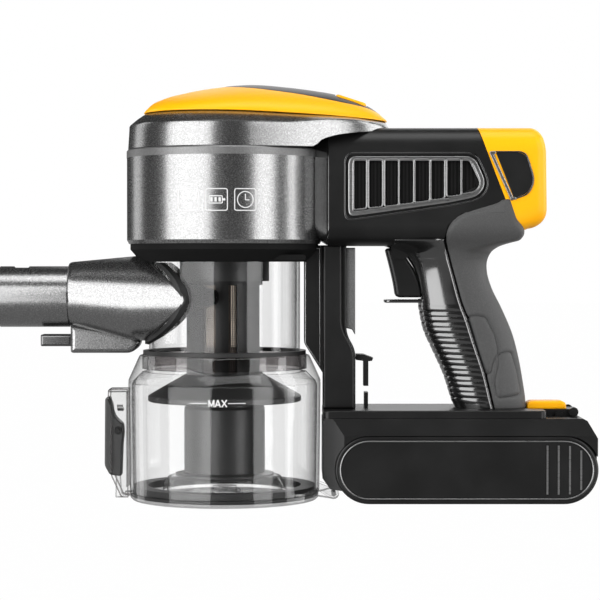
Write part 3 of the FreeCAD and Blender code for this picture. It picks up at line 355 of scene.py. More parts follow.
for part in frame["record"]["subparts"]:
    piece = frame["nodes"][part["node"]]
    piece.data.materials.clear()
    piece.data.materials.append(finishes[ownFinish.get(part["node"], part["material_slot"])])
print("finishes:", len(finishes))


# shapes are worked out in millimetres and put into meshes in metres
def gridFaces(rows, columns, closeRows, closeColumns):
    # the four corners of every cell of a rows by columns grid
    row = np.arange(rows if closeRows else rows - 1)
    column = np.arange(columns if closeColumns else columns - 1)
    row, column = (a.ravel() for a in np.meshgrid(row, column, indexing="ij"))
    below, right = (row + 1) % rows, (column + 1) % columns
    return np.stack([
        row * columns + column, row * columns + right, below * columns + right,
        below * columns + column], axis=1)


def closedEnds(rows, columns):
    # the faces of a stack of rings with a cap on the first and the last
    faces = gridFaces(rows, columns, False, True).tolist()
    last = range((rows - 1) * columns, rows * columns)
    return faces + [list(range(columns)), list(last)[::-1]]


def putMesh(name, points, faces, finish, body, replaces=(), sharp=35, outward=True, wall=0.0,
            mirrored=False):
    points = np.asarray(points, dtype=float).reshape(-1, 3)
    faces = [list(face) for face in faces]
    if mirrored:
        faces += [[i + len(points) for i in face] for face in faces]
        points = np.concatenate([points, points * [1, -1, 1]])
    mesh = bpy.data.meshes.new(name)
    mesh.from_pydata((points * millimetre).tolist(), [], faces)
    work = bmesh.new()
    work.from_mesh(mesh)
    bmesh.ops.remove_doubles(work, verts=work.verts, dist=1e-7)
    bmesh.ops.dissolve_degenerate(work, edges=work.edges, dist=1e-7)
    if outward:
        bmesh.ops.recalc_face_normals(work, faces=work.faces)
    work.to_mesh(mesh)
    work.free()
    mesh.polygons.foreach_set("use_smooth", np.ones(len(mesh.polygons), dtype=bool))
    mesh.set_sharp_from_angle(angle=math.radians(sharp))
    mesh.materials.append(finishes[finish])
    piece = bpy.data.objects.new(name, mesh)
    bpy.context.scene.collection.objects.link(piece)
    if wall:
        thick = piece.modifiers.new("wall", "SOLIDIFY")
        thick.thickness, thick.offset = wall * millimetre, -1
    if replaces:
        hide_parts(*replaces)
    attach(piece, body)
    return piece


def putSheet(name, x, y, z, finish, body, replaces, wall):
    # an open grid of points, thickened inwards
    points = np.stack([x, y, np.broadcast_to(z, x.shape)], axis=-1)
    faces = gridFaces(*x.shape, False, False)
    return putMesh(name, points, faces, finish, body, replaces, outward=False, wall=wall)


def putRings(name, rings, finish, body, replaces, sharp):
    # a skin over a stack of rings, closed at both ends
    points = np.stack(rings)
    return putMesh(name, points, closedEnds(*points.shape[:2]), finish, body, replaces, sharp)


def block(left, right, low, high, reach):
    # the corners of a rectangle, all rounded by the same reach
    return [(left, low, reach), (right, low, reach), (right, high, reach), (left, high, reach)]


def roundedOutline(corners, steps=6, inset=0.0):
    # each corner (x, z, reach) is rounded by a quadratic Bezier curve that leaves the two
    # sides at reach from the corner; an inset draws the sides in and shortens the reach to match
    given = np.array(corners, dtype=float)
    after = np.roll(given, -1, axis=0)
    if np.sum(given[:, 0] * after[:, 1] - after[:, 0] * given[:, 1]) < 0:
        given = given[::-1]
    at, reach = given[:, :2], given[:, 2]
    into, bend = inward(at)
    at = at + into * inset
    reach = reach - inset * bend
    back, ahead = np.roll(at, 1, axis=0) - at, np.roll(at, -1, axis=0) - at
    backLong, aheadLong = np.linalg.norm(back, axis=1), np.linalg.norm(ahead, axis=1)
    first = at + back / backLong[:, None] * np.clip(reach, 0.02, backLong * 0.49)[:, None]
    last = at + ahead / aheadLong[:, None] * np.clip(reach, 0.02, aheadLong * 0.49)[:, None]
    t = np.linspace(0, 1, steps)[None, :, None]
    curve = (1 - t) ** 2 * first[:, None] + 2 * t * (1 - t) * at[:, None] + t ** 2 * last[:, None]
    return curve.reshape(-1, 2)


def inward(outline):
    # miter of the two sides at each point of a counterclockwise outline,
    # and the tangent of half the turn there
    side = np.roll(outline, -1, axis=0) - outline
    side /= np.linalg.norm(side, axis=1)[:, None]
    normal = np.stack([-side[:, 1], side[:, 0]], axis=1)
    before, sideBefore = np.roll(normal, 1, axis=0), np.roll(side, 1, axis=0)
    # the limit keeps the miter of a very sharp corner short
    spread = (1 + np.sum(normal * before, axis=1)).clip(0.35)
    turn = sideBefore[:, 0] * side[:, 1] - sideBefore[:, 1] * side[:, 0]
    return (normal + before) / spread[:, None], turn / spread


def sideOn(u, v, depth):
    return np.stack([u, depth, v], axis=-1)


def planView(u, v, depth):
    return np.stack([u, v, depth], axis=-1)


def roundThe(radius):
    # wraps a flat drawing round the upright axis; depth counts outwards from the radius
    def wrap(u, v, depth):
        turn, out = u / radius, radius + depth
        return np.stack([out * np.sin(turn), -out * np.cos(turn), v], axis=-1)
    return wrap


def edgeProfile(near, far, edge, steps=5):
    # inset and depth along a slab's side: a quarter round, the straight wall, a quarter round
    a = np.linspace(0, math.pi / 2, steps)
    inset = np.concatenate([edge * (1 - np.sin(a)), edge * (1 - np.cos(a[:steps]))])
    depth = np.concatenate([near + edge * (1 - np.cos(a)), far - edge * (1 - np.sin(a[:steps]))])
    return np.stack([inset, depth], axis=1)


def slab(name, corners, near, far, edge, finish, body, replaces=(), lay=sideOn, mirrored=False,
         steps=6):
    # an outline carried through its depth along a rounded edge profile, capped at both ends
    points, faces = slabParts(corners, edgeProfile(near, far, edge), lay, steps)
    return putMesh(name, points, faces, finish, body, replaces, mirrored=mirrored)


def slabParts(corners, profile, lay, steps=6):
    # one more ring close inside each end keeps the caps flat to the eye
    flat = np.array([[0.12, 0.0]])
    profile = np.concatenate([profile[:1] + flat, profile, profile[-1:] + flat])
    at = np.stack([roundedOutline(corners, steps, inset) for inset in profile[:, 0]])
    depth = np.broadcast_to(profile[:, 1:2], at.shape[:2])
    return lay(at[..., 0], at[..., 1], depth).reshape(-1, 3), closedEnds(*at.shape[:2])


def rim(name, corners, width, near, far, edge, finish, body, replaces=(), lay=sideOn, mirrored=False,
        steps=6):
    # a closed frame: a rounded bar's section carried round the outline
    a = np.linspace(0, math.pi / 2, 4)
    u, v = edge * (1 - np.cos(a)), edge * (1 - np.sin(a))
    inset = np.concatenate([u, width - u[::-1], width - u, u[::-1]])
    depth = np.concatenate([near + v, near + v[::-1], far - v, far - v[::-1]])
    at = np.stack([roundedOutline(corners, steps, each) for each in inset], axis=1)
    points = lay(at[..., 0], at[..., 1], np.broadcast_to(depth, at.shape[:2]))
    faces = gridFaces(*at.shape[:2], True, True)
    return putMesh(name, points, faces, finish, body, replaces, mirrored=mirrored)


def lathe(name, profile, finish, body, replaces=(), steps=128, sharp=35):
    # a closed profile of radius and height turned round the upright axis
    profile = np.array(profile, dtype=float)
    turn = np.linspace(0, 2 * math.pi, steps, endpoint=False)[:, None]
    points = np.stack([
        profile[None, :, 0] * np.cos(turn), profile[None, :, 0] * np.sin(turn),
        np.broadcast_to(profile[None, :, 1], (steps, len(profile)))], axis=-1)
    faces = gridFaces(steps, len(profile), True, True)
    return putMesh(name, points, faces, finish, body, replaces, sharp)


def rod(name, path, radius, finish, body, around=10, closed=False):
    # a circle carried along a path, square to it
    path = np.array(path, dtype=float)
    if closed:
        ahead = np.roll(path, -1, axis=0) - np.roll(path, 1, axis=0)
    else:
        ahead = np.gradient(path, axis=0)
    ahead /= np.linalg.norm(ahead, axis=1)[:, None]
    helper = np.where(np.abs(ahead[:, 1:2]) < 0.9, [[0.0, 1.0, 0.0]], [[1.0, 0.0, 0.0]])
    across = np.cross(ahead, helper)
    across /= np.linalg.norm(across, axis=1)[:, None]
    up = np.cross(ahead, across)
    turn = np.linspace(0, 2 * math.pi, around, endpoint=False)
    ring = np.cos(turn)[:, None] * across[:, None] + np.sin(turn)[:, None] * up[:, None]
    points = path[:, None] + ring * np.broadcast_to(radius, len(path))[:, None, None]
    faces = gridFaces(len(path), around, True, True) if closed else closedEnds(len(path), around)
    return putMesh(name, points, faces, finish, body)


def ease(x, low, high):
    # 0 below low, 1 above high, smooth between
    share = np.clip((x - low) / (high - low), 0, 1)
    return share * share * (3 - 2 * share)


def curveThrough(table, x, column=1):
    # smooth curve through rows of a table, read at x (cubic Hermite with averaged slopes)
    table = np.array(sorted(table), dtype=float)
    known, value = table[:, 0], table[:, column]
    slope = np.gradient(value, known)
    k = np.clip(np.searchsorted(known, x) - 1, 0, len(known) - 2)
    gap = known[k + 1] - known[k]
    t = np.clip((x - known[k]) / gap, 0, 1)
    return ((2 * t**3 - 3 * t**2 + 1) * value[k] + (t**3 - 2 * t**2 + t) * gap * slope[k]
            + (3 * t**2 - 2 * t**3) * value[k + 1] + (t**3 - t**2) * gap * slope[k + 1])


# grip: heights with the place of its front, seam and back, and half its width
gripShape = {
    "front": [(60.5, 155.2), (64, 153.7), (84, 147.0), (100, 139.7), (112, 134.3), (126, 131.2),
              (134, 129.9), (142, 128.6), (150, 126.8), (156, 124.4), (161, 121.0), (165, 116.8),
              (169, 108.0), (172, 98.0), (178, 90.0), (200, 86.0)],
    "seam": [(60.5, 178.6), (63.9, 177.7), (84.3, 172.7), (102.5, 166.9), (121.1, 160.9),
             (127.1, 158.4), (147.5, 152.4), (160, 148.9), (168.2, 146.3), (172.5, 145.0),
             (176.5, 144.9), (181, 146.6), (184.6, 149.6), (187.4, 153.4), (190.2, 160.4),
             (194.0, 173.5), (197.6, 186.6)],
    "back": [(60.5, 199.2), (64, 199.0), (78.7, 197.0), (96, 193.7), (108.7, 190.3), (126, 183.0),
             (140, 176.2), (151.3, 173.1), (158, 173.2), (163.3, 175.2), (167, 178.3), (169.8, 183.2),
             (171.6, 189.0), (172.8, 193.6), (174.0, 194.8), (186, 191.8), (198, 188.2)],
    "half": [(60.5, 18.3), (80, 18.2), (110, 18.0), (134, 18.2), (148, 18.7), (156, 19.6), (162, 21.2),
             (167, 23.6), (170, 26.0), (173, 28.6), (177, 31.2), (181, 32.5), (185, 32.9), (199, 32.9)],
    # the grooves for the fingers, and the doorway that the trigger passes through
    "grooves": 9, "grooveStart": 68.0, "groovePitch": 7.12, "grooveDepth": 1.15, "grooveHalf": 3.56,
    "doorHalf": 9.7, "doorLow": 132.9, "doorHigh": 168.2, "foot": 60.6,
}


def gripSection(height):
    # where the rounded middle lies and how square the section is; both change where it meets the barrel
    front, seam, back, half = (
        curveThrough(gripShape[line], height) for line in ("front", "seam", "back", "half"))
    middle = np.where(height < 160, (front + back) / 2, (124 + back) / 2)
    into = ease(height, 164, 174)
    middle = middle * (1 - into) + (back - 9) * into
    power = 2.35 + 3.2 * ease(height, 164, 175)
    return front, seam, back, half, middle, power


def seamTurn(seam, front, back, middle, power):
    # the turn round the section at which it reaches the seam
    share = np.where(
        seam > middle, (seam - middle) / (back - middle), (middle - seam) / (middle - front))
    turn = np.arccos(np.clip(share, 0, 1) ** (power / 2))
    return np.where(seam > middle, turn, math.pi - turn)


def onSection(turn, front, back, half, middle, power, inset):
    # superellipse: x and y are powers of the cosine and sine of the turn
    c, n = np.cos(turn), np.sin(turn)
    reach = np.where(c > 0, back - middle, middle - front) - inset
    x = middle + reach * np.sign(c) * np.abs(c) ** (2 / power)
    y = (half - inset) * np.sign(n) * np.abs(n) ** (2 / power)
    return x, y


def nearLine(x, z, line):
    # distance from each point of a grid to a closed broken line
    side = np.roll(line, -1, axis=0) - line
    away = np.stack([x, z], axis=-1)[..., None, :] - line
    share = np.clip(np.sum(away * side, axis=-1) / np.sum(side * side, axis=-1), 0, 1)
    return np.linalg.norm(away - share[..., None] * side, axis=-1).min(axis=-1)


def makeGrip():
    shape, foot = gripShape, gripShape["foot"]
    low, high = shape["doorLow"], shape["doorHigh"]
    # the black front: rows closer together where the finger grooves run
    z = np.unique(np.concatenate([
        np.linspace(foot, low, 260), np.linspace(low, high, 46), np.linspace(high, 173.0, 8)]))[:, None]
    front, seam, back, half, middle, power = gripSection(z)
    start = seamTurn(seam - 1.3, front, back, middle, power)
    window = math.pi - np.arcsin(np.clip(shape["doorHalf"] / half, 0, 1) ** (power / 2))
    lanes = np.linspace(0, 1, 22)[None]
    turn = np.concatenate([
        start + (window - start) * lanes,
        window + 2 * (math.pi - window) * np.linspace(0, 1, 16)[None, 1:-1],
        2 * math.pi - window + (window - start) * lanes], axis=1)
    # each groove is a narrow bell, and the rib between two swells a little
    index = (z - shape["grooveStart"]) / shape["groovePitch"]
    nearest = np.clip(np.round(index), 0, shape["grooves"] - 1)
    away = (index - nearest) * shape["groovePitch"]
    rib = np.clip(np.abs(away) / shape["grooveHalf"], 0, 1)
    inset = shape["grooveDepth"] * np.exp(-(away / 0.5) ** 2) - 0.35 * (1 - (rib - 0.55) ** 2 / 0.3)
    edge = np.minimum(turn - start, 2 * math.pi - start - turn) * half
    inset = inset * ease(edge, 0.4, 3.0) * (1 - ease(z, 128, 129.5))
    inset = inset + 0.45 * (1 - ease(edge, 0.0, 0.8))
    x, y = onSection(turn, front, back, half, middle, power, inset)
    points = np.stack([x, y, np.broadcast_to(z, x.shape)], axis=-1)
    cells = gridFaces(*x.shape, False, False)
    centre = points.reshape(-1, 3)[cells].mean(axis=1)
    doorway = (np.abs(centre[:, 1]) < shape["doorHalf"]) & (centre[:, 0] < 150)
    doorway &= (centre[:, 2] > low) & (centre[:, 2] < high)
    putMesh("gripFront", points, cells[~doorway][:, ::-1], "black_gloss", "main_body", ("grip_front",),
            outward=False, wall=1.5)
    # the dark strip that shows in the seam: a near-black sheet behind the gap, painted shade of the
    # groove
    z = np.linspace(foot, 172, 90)[:, None]
    front, seam, back, half, middle, power = gripSection(z)
    turn = seamTurn(seam + np.linspace(-3.5, 3.5, 9)[None], front, back, middle, power)
    x, y = onSection(turn, front, back, half, middle, power, 1.1)
    near = np.stack([x, y, np.broadcast_to(z, x.shape)], axis=-1)
    cells = gridFaces(*x.shape, False, False)
    points = np.concatenate([near.reshape(-1, 3), near.reshape(-1, 3) * np.array([1, -1, 1])])
    cells = np.concatenate([cells[:, ::-1], cells + near[..., 0].size])
    putMesh("gripSeamShade", points, cells, "deep_black", "main_body", outward=False, wall=1.2)


# pads of the grip's back: outlines on its flank, and the fold that runs between them
backPads = {
    "upper": [(161.6, 121.2), (166, 122.2), (172.5, 120.8), (178.4, 109), (180.6, 99.6), (180.2, 96.8),
              (177.2, 90.5), (176.2, 84.0), (173.8, 83.6), (170.0, 92.0)],
    "lower": [(181.5, 96.2), (184.8, 98.0), (189.6, 97.4), (193.6, 84), (196.0, 69.5), (180.2, 67.6),
              (178.4, 78.0), (180.8, 88.2)],
    "depth": 1.5, "width": 1.15,
}


def makeGripBack():
    foot = gripShape["foot"]
    z = np.unique(np.concatenate([
        np.linspace(foot, 63.2, 6), np.linspace(63.2, 126, 150), np.linspace(126, 166, 50),
        np.linspace(166, 197.4, 80)]))[:, None]
    front, seam, back, half, middle, power = gripSection(z)
    start = seamTurn(seam + 0.7, front, back, middle, power)
    turn = start * np.linspace(1, -1, 150)[None]
    x, y = onSection(turn, front, back, half, middle, power, 0)
    level = np.broadcast_to(z, x.shape)
    edge = (start - np.abs(turn)) * half
    inset = 0.9 * (1 - ease(edge, 0.0, 1.1)) + 0.8 * (1 - ease(z, foot, foot + 1))
    for outline in (backPads["upper"], backPads["lower"]):
        line = roundedOutline([(a, b, 2.5) for a, b in outline], 5)
        gap = nearLine(x, level, line)
        inset = inset + backPads["depth"] * np.exp(-(gap / backPads["width"]) ** 2)
    x, y = onSection(turn, front, back, half, middle, power, inset)
    putSheet("gripBack", x, y, z, "soft_grey", "main_body", ("grip_back",), 1.6)


makeGrip()
makeGripBack()
print("grip")


# trigger lever: its flank carried across its width
trigger = {"half": 9.0, "edge": 2.3}


def makeTrigger():
    slab("triggerLever", [
        (107.0, 165.4, 1.0), (110.1, 153.5, 9), (112.6, 142.5, 5), (113.6, 135.4, 2.0),
        (115.4, 133.8, 1.6), (130.8, 133.8, 0.6), (131.8, 138.0, 2), (127.0, 151.2, 6),
        (119.6, 162.2, 2), (118.4, 166.4, 0.6), (108.6, 166.6, 0.8),
    ], -trigger["half"], trigger["half"], trigger["edge"], "black_satin", "trigger", ("trigger",))


makeTrigger()


# spine: the face steps out low down, with a strip set back behind it
spine = {"half": 17.0, "edge": 1.5, "back": 12.6, "top": 168.4, "foot": 60.6}


def makeSpine():
    half, inner, top, foot = spine["half"], spine["back"], spine["top"], spine["foot"]
    slab("spineFace", [
        (65.4, foot, 0.3), (86.2, foot, 0.3), (86.2, 98.6, 6), (77.8, 113.8, 6), (77.8, top, 0.3),
        (65.4, top, 0.3),
    ], -half, half, spine["edge"], "black_satin", "main_body", ("spine_shell",))
    slab("spineBack", [
        (70, foot, 0.2), (87.0, foot, 0.4), (87.0, 99.2, 5), (81.0, 110.0, 5), (81.0, top, 0.4),
        (70, top, 0.2),
    ], -inner, inner, 1.2, "black_satin", "main_body")
    slab("spineTrim", [
        (76, 114.6, 1), (84.9, 112.6, 1.0), (86.9, 108.8, 1), (86.9, 166.8, 0.4), (76, 166.8, 0.4),
    ], 4 - inner, inner - 4, 0.8, "light_trim", "main_body", ("spine_strip",))
    slab("neckWeb", [
        (52.9, top, 0.4), (52.9, 103.8, 2), (66, 82.8, 0.4), (66, top, 0.4),
    ], -11.9, 11.9, 1.3, "black_satin", "main_body")


makeSpine()
print("trigger and spine")


# vents: a rounded frame with a raised lip round each slot (left, right and low edge)
vents = {
    "out": 33.0, "lip": 0.95, "top": 224.4, "tilt": 1.1,
    "slots": [(85.4, 93.2, 191.5), (95.2, 103.6, 192.6), (105.6, 114.0, 193.6), (115.0, 123.8, 194.8),
              (125.1, 134.2, 196.2), (135.5, 143.9, 197.8), (145.9, 154.6, 200.0)],
    "frame": [(81.6, 226.0, 5.5), (163.6, 226.0, 6), (171.3, 208.4, 5.5), (166.0, 199.8, 6),
              (147.2, 195.9, 4), (87.6, 187.4, 6), (81.6, 187.2, 5.5)],
    "recess": [(78.9, 228.6, 7), (165.2, 228.6, 7.5), (174.4, 207.8, 7), (167.8, 197.4, 7),
               (147.6, 193.2, 4), (86.4, 184.5, 7), (78.9, 184.2, 7)],
}


def makeVents():
    out, top, slots = -vents["out"], vents["top"], vents["slots"]

    def lip(name, corners):
        rim(name, corners, vents["lip"], out - 0.55, out + 1.6, 0.3, "silver_trim", "main_body",
            mirrored=True)

    rim("ventFrame", vents["frame"], 3.0, out - 0.35, out + 1.7, 0.5, "silver_trim", "main_body",
        ("vent_grilles",), mirrored=True)
    rim("ventInset", vents["recess"], 1.1, out - 0.28, out + 1.5, 0.28, "black_gloss", "main_body",
        mirrored=True)
    for number, (left, right, low) in enumerate(slots, 1):
        lip(f"ventLip{number}", [
            (left - 0.9, top, 2.2), (right + 0.9, top, 2.2),
            (right + 0.9, low - 0.9 + vents["tilt"], 2.4),
            (left - 0.9, low - 0.9, 2.4)])
        if number < len(slots):
            near, after = right + 0.2, slots[number][0] - 0.2
            slab(f"ventBridge{number}", [
                (near, top + 0.6, 0.1), (after, top + 0.6, 0.1), (after, low - 0.4, 0.1),
                (near, low - 1.2, 0.1)], out + 0.1, out + 1.6, 0.1, "black_satin", "main_body",
                mirrored=True)
    lip("ventLipEnd", [
        (154.7, top, 2.2), (160.6, top, 3.2), (168.4, 208.4, 3.2), (165.0, 202.6, 3.4),
        (154.7, 200.6, 2.4)])


makeVents()


# rear panel: a dark window with a bright slanted bar that ends in small feet
rearPanel = {"out": 33.6}


def makeRearPanel():
    out = -rearPanel["out"]
    slab("panelWindow", [
        (177.4, 228.5, 1.2), (196.6, 228.5, 5), (202.2, 210.4, 5), (198.4, 202.0, 4),
        (189.4, 198.6, 1.2),
    ], out + 0.15, out + 1.15, 0.3, "black_satin", "main_body", ("rear_panels",), mirrored=True)
    rim("panelEdge", [
        (174.6, 229.4, 0.8), (197.2, 229.4, 5.2), (203.2, 210.2, 5.4), (199.0, 201.0, 4.4),
        (187.2, 197.0, 0.8),
    ], 0.9, out - 0.3, out + 1.1, 0.28, "black_gloss", "main_body", mirrored=True)
    slab("panelBar", [
        (173.5, 227.6, 0.5), (175.6, 227.6, 0.5), (188.6, 199.6, 0.5), (186.5, 199.2, 0.5),
    ], out - 0.75, out + 1.0, 0.35, "silver_trim", "main_body", mirrored=True)
    for name, x, z in (("panelFootTop", 174.8, 228.3), ("panelFootLow", 188.2, 198.6)):
        slab(name, block(x - 1.4, x + 2.4, z - 0.9, z + 0.9, 0.5), out - 0.85, out + 1.0, 0.35,
             "silver_trim", "main_body", mirrored=True)


makeRearPanel()
print("vents and rear panel")


# hood over the motor and the handle's root, and the cap on it
hood = {
    "radius": 63.9, "tip": 110.2, "shoulder": 247.1, "lean": 1.0, "low": 231.4,
    "lowEdge": [(60.4, 231.4), (61.4, 233.0), (63.2, 235.0), (66, 236.6), (72, 238.6), (85, 241.0),
                (97, 242.4), (104, 243.2), (110.2, 245.3)],
    "tray": 40.0, "trayFloor": 242.4, "hole": 12.0, "holeFloor": 240.6,
}
cap = {
    "back": -51.8, "tip": 106.5, "half": 46.0, "centre": 4.0, "peak": 1.38, "swell": 0.60,
    "edge": 255.6, "sink": 5.3,
    "ridge": [(-51.8, 255.6), (-47.7, 260.0), (-39.7, 264.0), (-25, 268.0), (-0.3, 272.0), (17, 273.3),
              (41, 271.7), (62, 269.0), (72, 267.3), (78.3, 265.6), (88, 262.4), (95.7, 258.8),
              (101, 255.2), (106.5, 250.4)],
}


def roundNose(centre, long, half, tip, count=46):
    # plan outline: half an ellipse at the back, two cubic Bezier curves to the nose
    turn = np.linspace(math.radians(72), math.radians(288), 2 * count)
    back = np.stack([centre + long * np.cos(turn), half * np.sin(turn)], axis=1)
    end = back[-1]
    slope = np.array([-long * math.sin(turn[-1]), half * math.cos(turn[-1])])
    slope /= np.linalg.norm(slope)
    t = np.linspace(0, 1, count)[1:, None]
    reach = tip - end[0]
    knots = [end, end + slope * reach * 0.62, np.array([tip, end[1] * 0.46]), np.array([tip, 0.0])]
    weights = ((1 - t) ** 3, 3 * t * (1 - t) ** 2, 3 * t * t * (1 - t), t**3)
    lower = sum(weight * knot for weight, knot in zip(weights, knots))
    upper = lower[::-1][1:] * np.array([1, -1])
    return np.concatenate([back, lower, upper])


def capEdge(x):
    # height of the cap's edge, which sinks towards the nose
    share = np.clip((x - cap["back"]) / (cap["tip"] - cap["back"]), 0, 1)
    return cap["edge"] - cap["sink"] * share ** 2.2


capOutline = roundNose(cap["centre"], cap["centre"] - cap["back"], cap["half"], cap["tip"])


def capHalf(x):
    near = capOutline[capOutline[:, 1] > -1e-6]
    order = np.argsort(near[:, 0])
    return np.interp(x, near[order, 0], near[order, 1])


def makeHood():
    # rings from the inside of the wall, down and out, up over the shoulder and into the filter's tray
    wall = roundNose(0.0, hood["radius"], hood["radius"], hood["tip"])
    into = inward(wall)[0]
    x = wall[:, 0]
    low = np.where(x < hood["lowEdge"][0][0], hood["low"], curveThrough(hood["lowEdge"], x))
    shoulder = hood["shoulder"] + 2.4 * ease(x, 40, 72) * (1 - ease(x, 84, 107))
    inside = 240.5 + 5.6 * ease(x, 50, 60)
    edge = capOutline
    top = capEdge(edge[:, 0])
    direction = edge / np.linalg.norm(edge, axis=1)[:, None]
    rows = []

    def ring(plan, height):
        rows.append(np.concatenate([plan, np.broadcast_to(height, len(plan))[:, None]], axis=1))

    lean, tray = hood["lean"], hood["tray"]
    ring(wall + into * 3.0, inside)
    ring(wall + into * 2.6, np.minimum(low, inside - 0.2))
    ring(wall + into * 0.35, low)
    ring(wall, low + 0.35)
    for share in (0.25, 0.5, 0.75):
        ring(wall + into * lean * share, low + (shoulder - low) * share)
    ring(wall + into * (lean - 0.1), shoulder - 0.5)
    start, rise = wall + into * (lean + 0.35), shoulder + 0.35
    ring(start, rise)
    for share in (0.2, 0.45, 0.7, 0.97):
        bulge = 0.5 * math.sin(math.pi * share)
        ring(start + (edge - start) * share, rise + (top - 0.1 - rise) * share + bulge)
    ring(edge + inward(edge)[0] * 0.5, top - 0.5)
    ring(edge + inward(edge)[0], top - 1.4)
    ring(direction * (tray + 1.0), np.maximum(top - 1.4, 249.0))
    ring(direction * tray, np.maximum(top - 1.6, 248.6))
    ring(direction * tray, hood["trayFloor"])
    ring(direction * hood["hole"], hood["trayFloor"])
    ring(direction * hood["hole"], hood["holeFloor"])
    faces = gridFaces(len(rows), len(wall), True, True)
    putMesh("hoodShell", np.stack(rows), faces, "graphite", "main_body", ("upper_housing",), sharp=26)


def capSurface(x, across, lift=0.0):
    # ridge height times a power curve across the width
    half = capHalf(x)
    edge = capEdge(x)
    share = np.clip(np.abs(across) / np.maximum(half, 1e-3), 0, 1)
    ridge = curveThrough(cap["ridge"], x)
    return edge + (ridge - edge) * (1 - share ** cap["peak"]) ** cap["swell"] + lift


stripe = {"start": 0.5, "end": 103.5, "half": 20.5, "lift": 0.55, "blunt": 34, "narrow": 62}


def makeCap():
    s = np.linspace(0, math.pi, 120)[:, None]
    back, tip = cap["back"], cap["tip"]
    x = (back + tip) / 2 - (tip - back) / 2 * np.cos(s)
    side = np.linspace(-math.pi / 2, math.pi / 2, 81)[None]
    across = np.sin(side) * capHalf(x)
    x = np.broadcast_to(x, across.shape)
    z = capSurface(x, across)
    shell = putSheet("capShell", x, across, z, "yellow", "top_cover", ("top_cap",), 1.6)
    # the stripe starts blunt, follows the ridge and narrows to the nose
    s = np.linspace(0, 1, 110)[:, None]
    start, end, narrow = stripe["start"], stripe["end"], stripe["narrow"]
    x = start + (end - start) * s
    width = stripe["half"] * (1 - (1 - np.clip((x - start) / stripe["blunt"], 0, 1)) ** 2.4) ** 0.6
    width = width * (1 - np.clip((x - narrow) / (end + 2 - narrow), 0, 1) ** 2.2)
    side = np.linspace(-1, 1, 51)[None]
    across = side * width
    x = np.broadcast_to(x, across.shape)
    lift = stripe["lift"] * (1 - np.clip((np.abs(side) - 0.9) / 0.1, 0, 1) ** 2 * 0.9)
    z = capSurface(x, across, lift)
    return shell, putSheet("capStripe", x, across, z, "black_satin", "top_cover", ("cap_stripe",), 1.2)


capButton = {"x": 84.0, "z": 263.9, "tilt": 18.0, "long": 10.6, "wide": 8.0, "gap": 0.6, "floor": -8.6}


def onCap(u, v, depth):
    # the plane of the button, tilted down towards the nose
    tilt = math.radians(capButton["tilt"])
    return np.stack([
        capButton["x"] + u * math.cos(tilt) + depth * math.sin(tilt), v,
        capButton["z"] - u * math.sin(tilt) + depth * math.cos(tilt)], axis=-1)


def cutWith(pieces, points, faces):
    # takes a closed tool's shape out of each piece
    tool = bpy.data.objects.new("tool", bpy.data.meshes.new("tool"))
    tool.data.from_pydata((np.asarray(points) * millimetre).tolist(), [], faces)
    bpy.context.scene.collection.objects.link(tool)
    for piece in pieces:
        cut = piece.modifiers.new("cut", "BOOLEAN")
        cut.operation, cut.solver, cut.object = "DIFFERENCE", "EXACT", tool
    view = bpy.context.evaluated_depsgraph_get()
    for piece in pieces:
        done = bpy.data.meshes.new_from_object(piece.evaluated_get(view))
        piece.modifiers.clear()
        piece.data = done
    bpy.data.objects.remove(tool)


def makeCapButton(pieces):
    def outline(more, reach):
        long, wide = capButton["long"] + more, capButton["wide"] + more
        return block(-long, long, -wide, wide, reach)

    low, through = capButton["floor"], np.array([[0, -12.0], [0, 12.0]])
    cutWith(pieces, *slabParts(outline(capButton["gap"], 4.6), through, onCap, 8))
    slab("capButtonTop", outline(0, 4.2), -5.0, 1.7, 1.5, "yellow", "cap_button", ("cap_button",), onCap,
         steps=8)
    slab("capButtonWell", outline(1.8, 5), low, low + 1.2, 0.3, "black_satin", "top_cover", (), onCap)


makeHood()
makeCapButton(makeCap())
print("hood and cap")


# print on the housing and the cup: badges and the fill mark
prints = {
    "radius": 64.7, "line": 0.62, "size": 14.4, "height": 197.0, "places": (-20.8, -2.6, 15.8),
    "ink": (0.02, 0.09, 0.02),
}


def wrapped(corners, steps=6):
    # splits the straight runs of a rounded outline, so that it can bend round a cylinder
    line = roundedOutline(corners, steps)
    after = np.roll(line, -1, axis=0)
    parts = []
    for start, end in zip(line, after):
        count = max(1, int(abs(end[0] - start[0]) / 0.9))
        share = np.linspace(0, 1, count, endpoint=False)[:, None]
        parts.append(start + (end - start) * share)
    return [(x, z, 0.0) for x, z in np.concatenate(parts)]


def ringOutline(x, z, radius, count=36):
    turn = np.linspace(0, 2 * math.pi, count, endpoint=False)
    return [(x + radius * math.cos(a), z + radius * math.sin(a), 0.1) for a in turn]


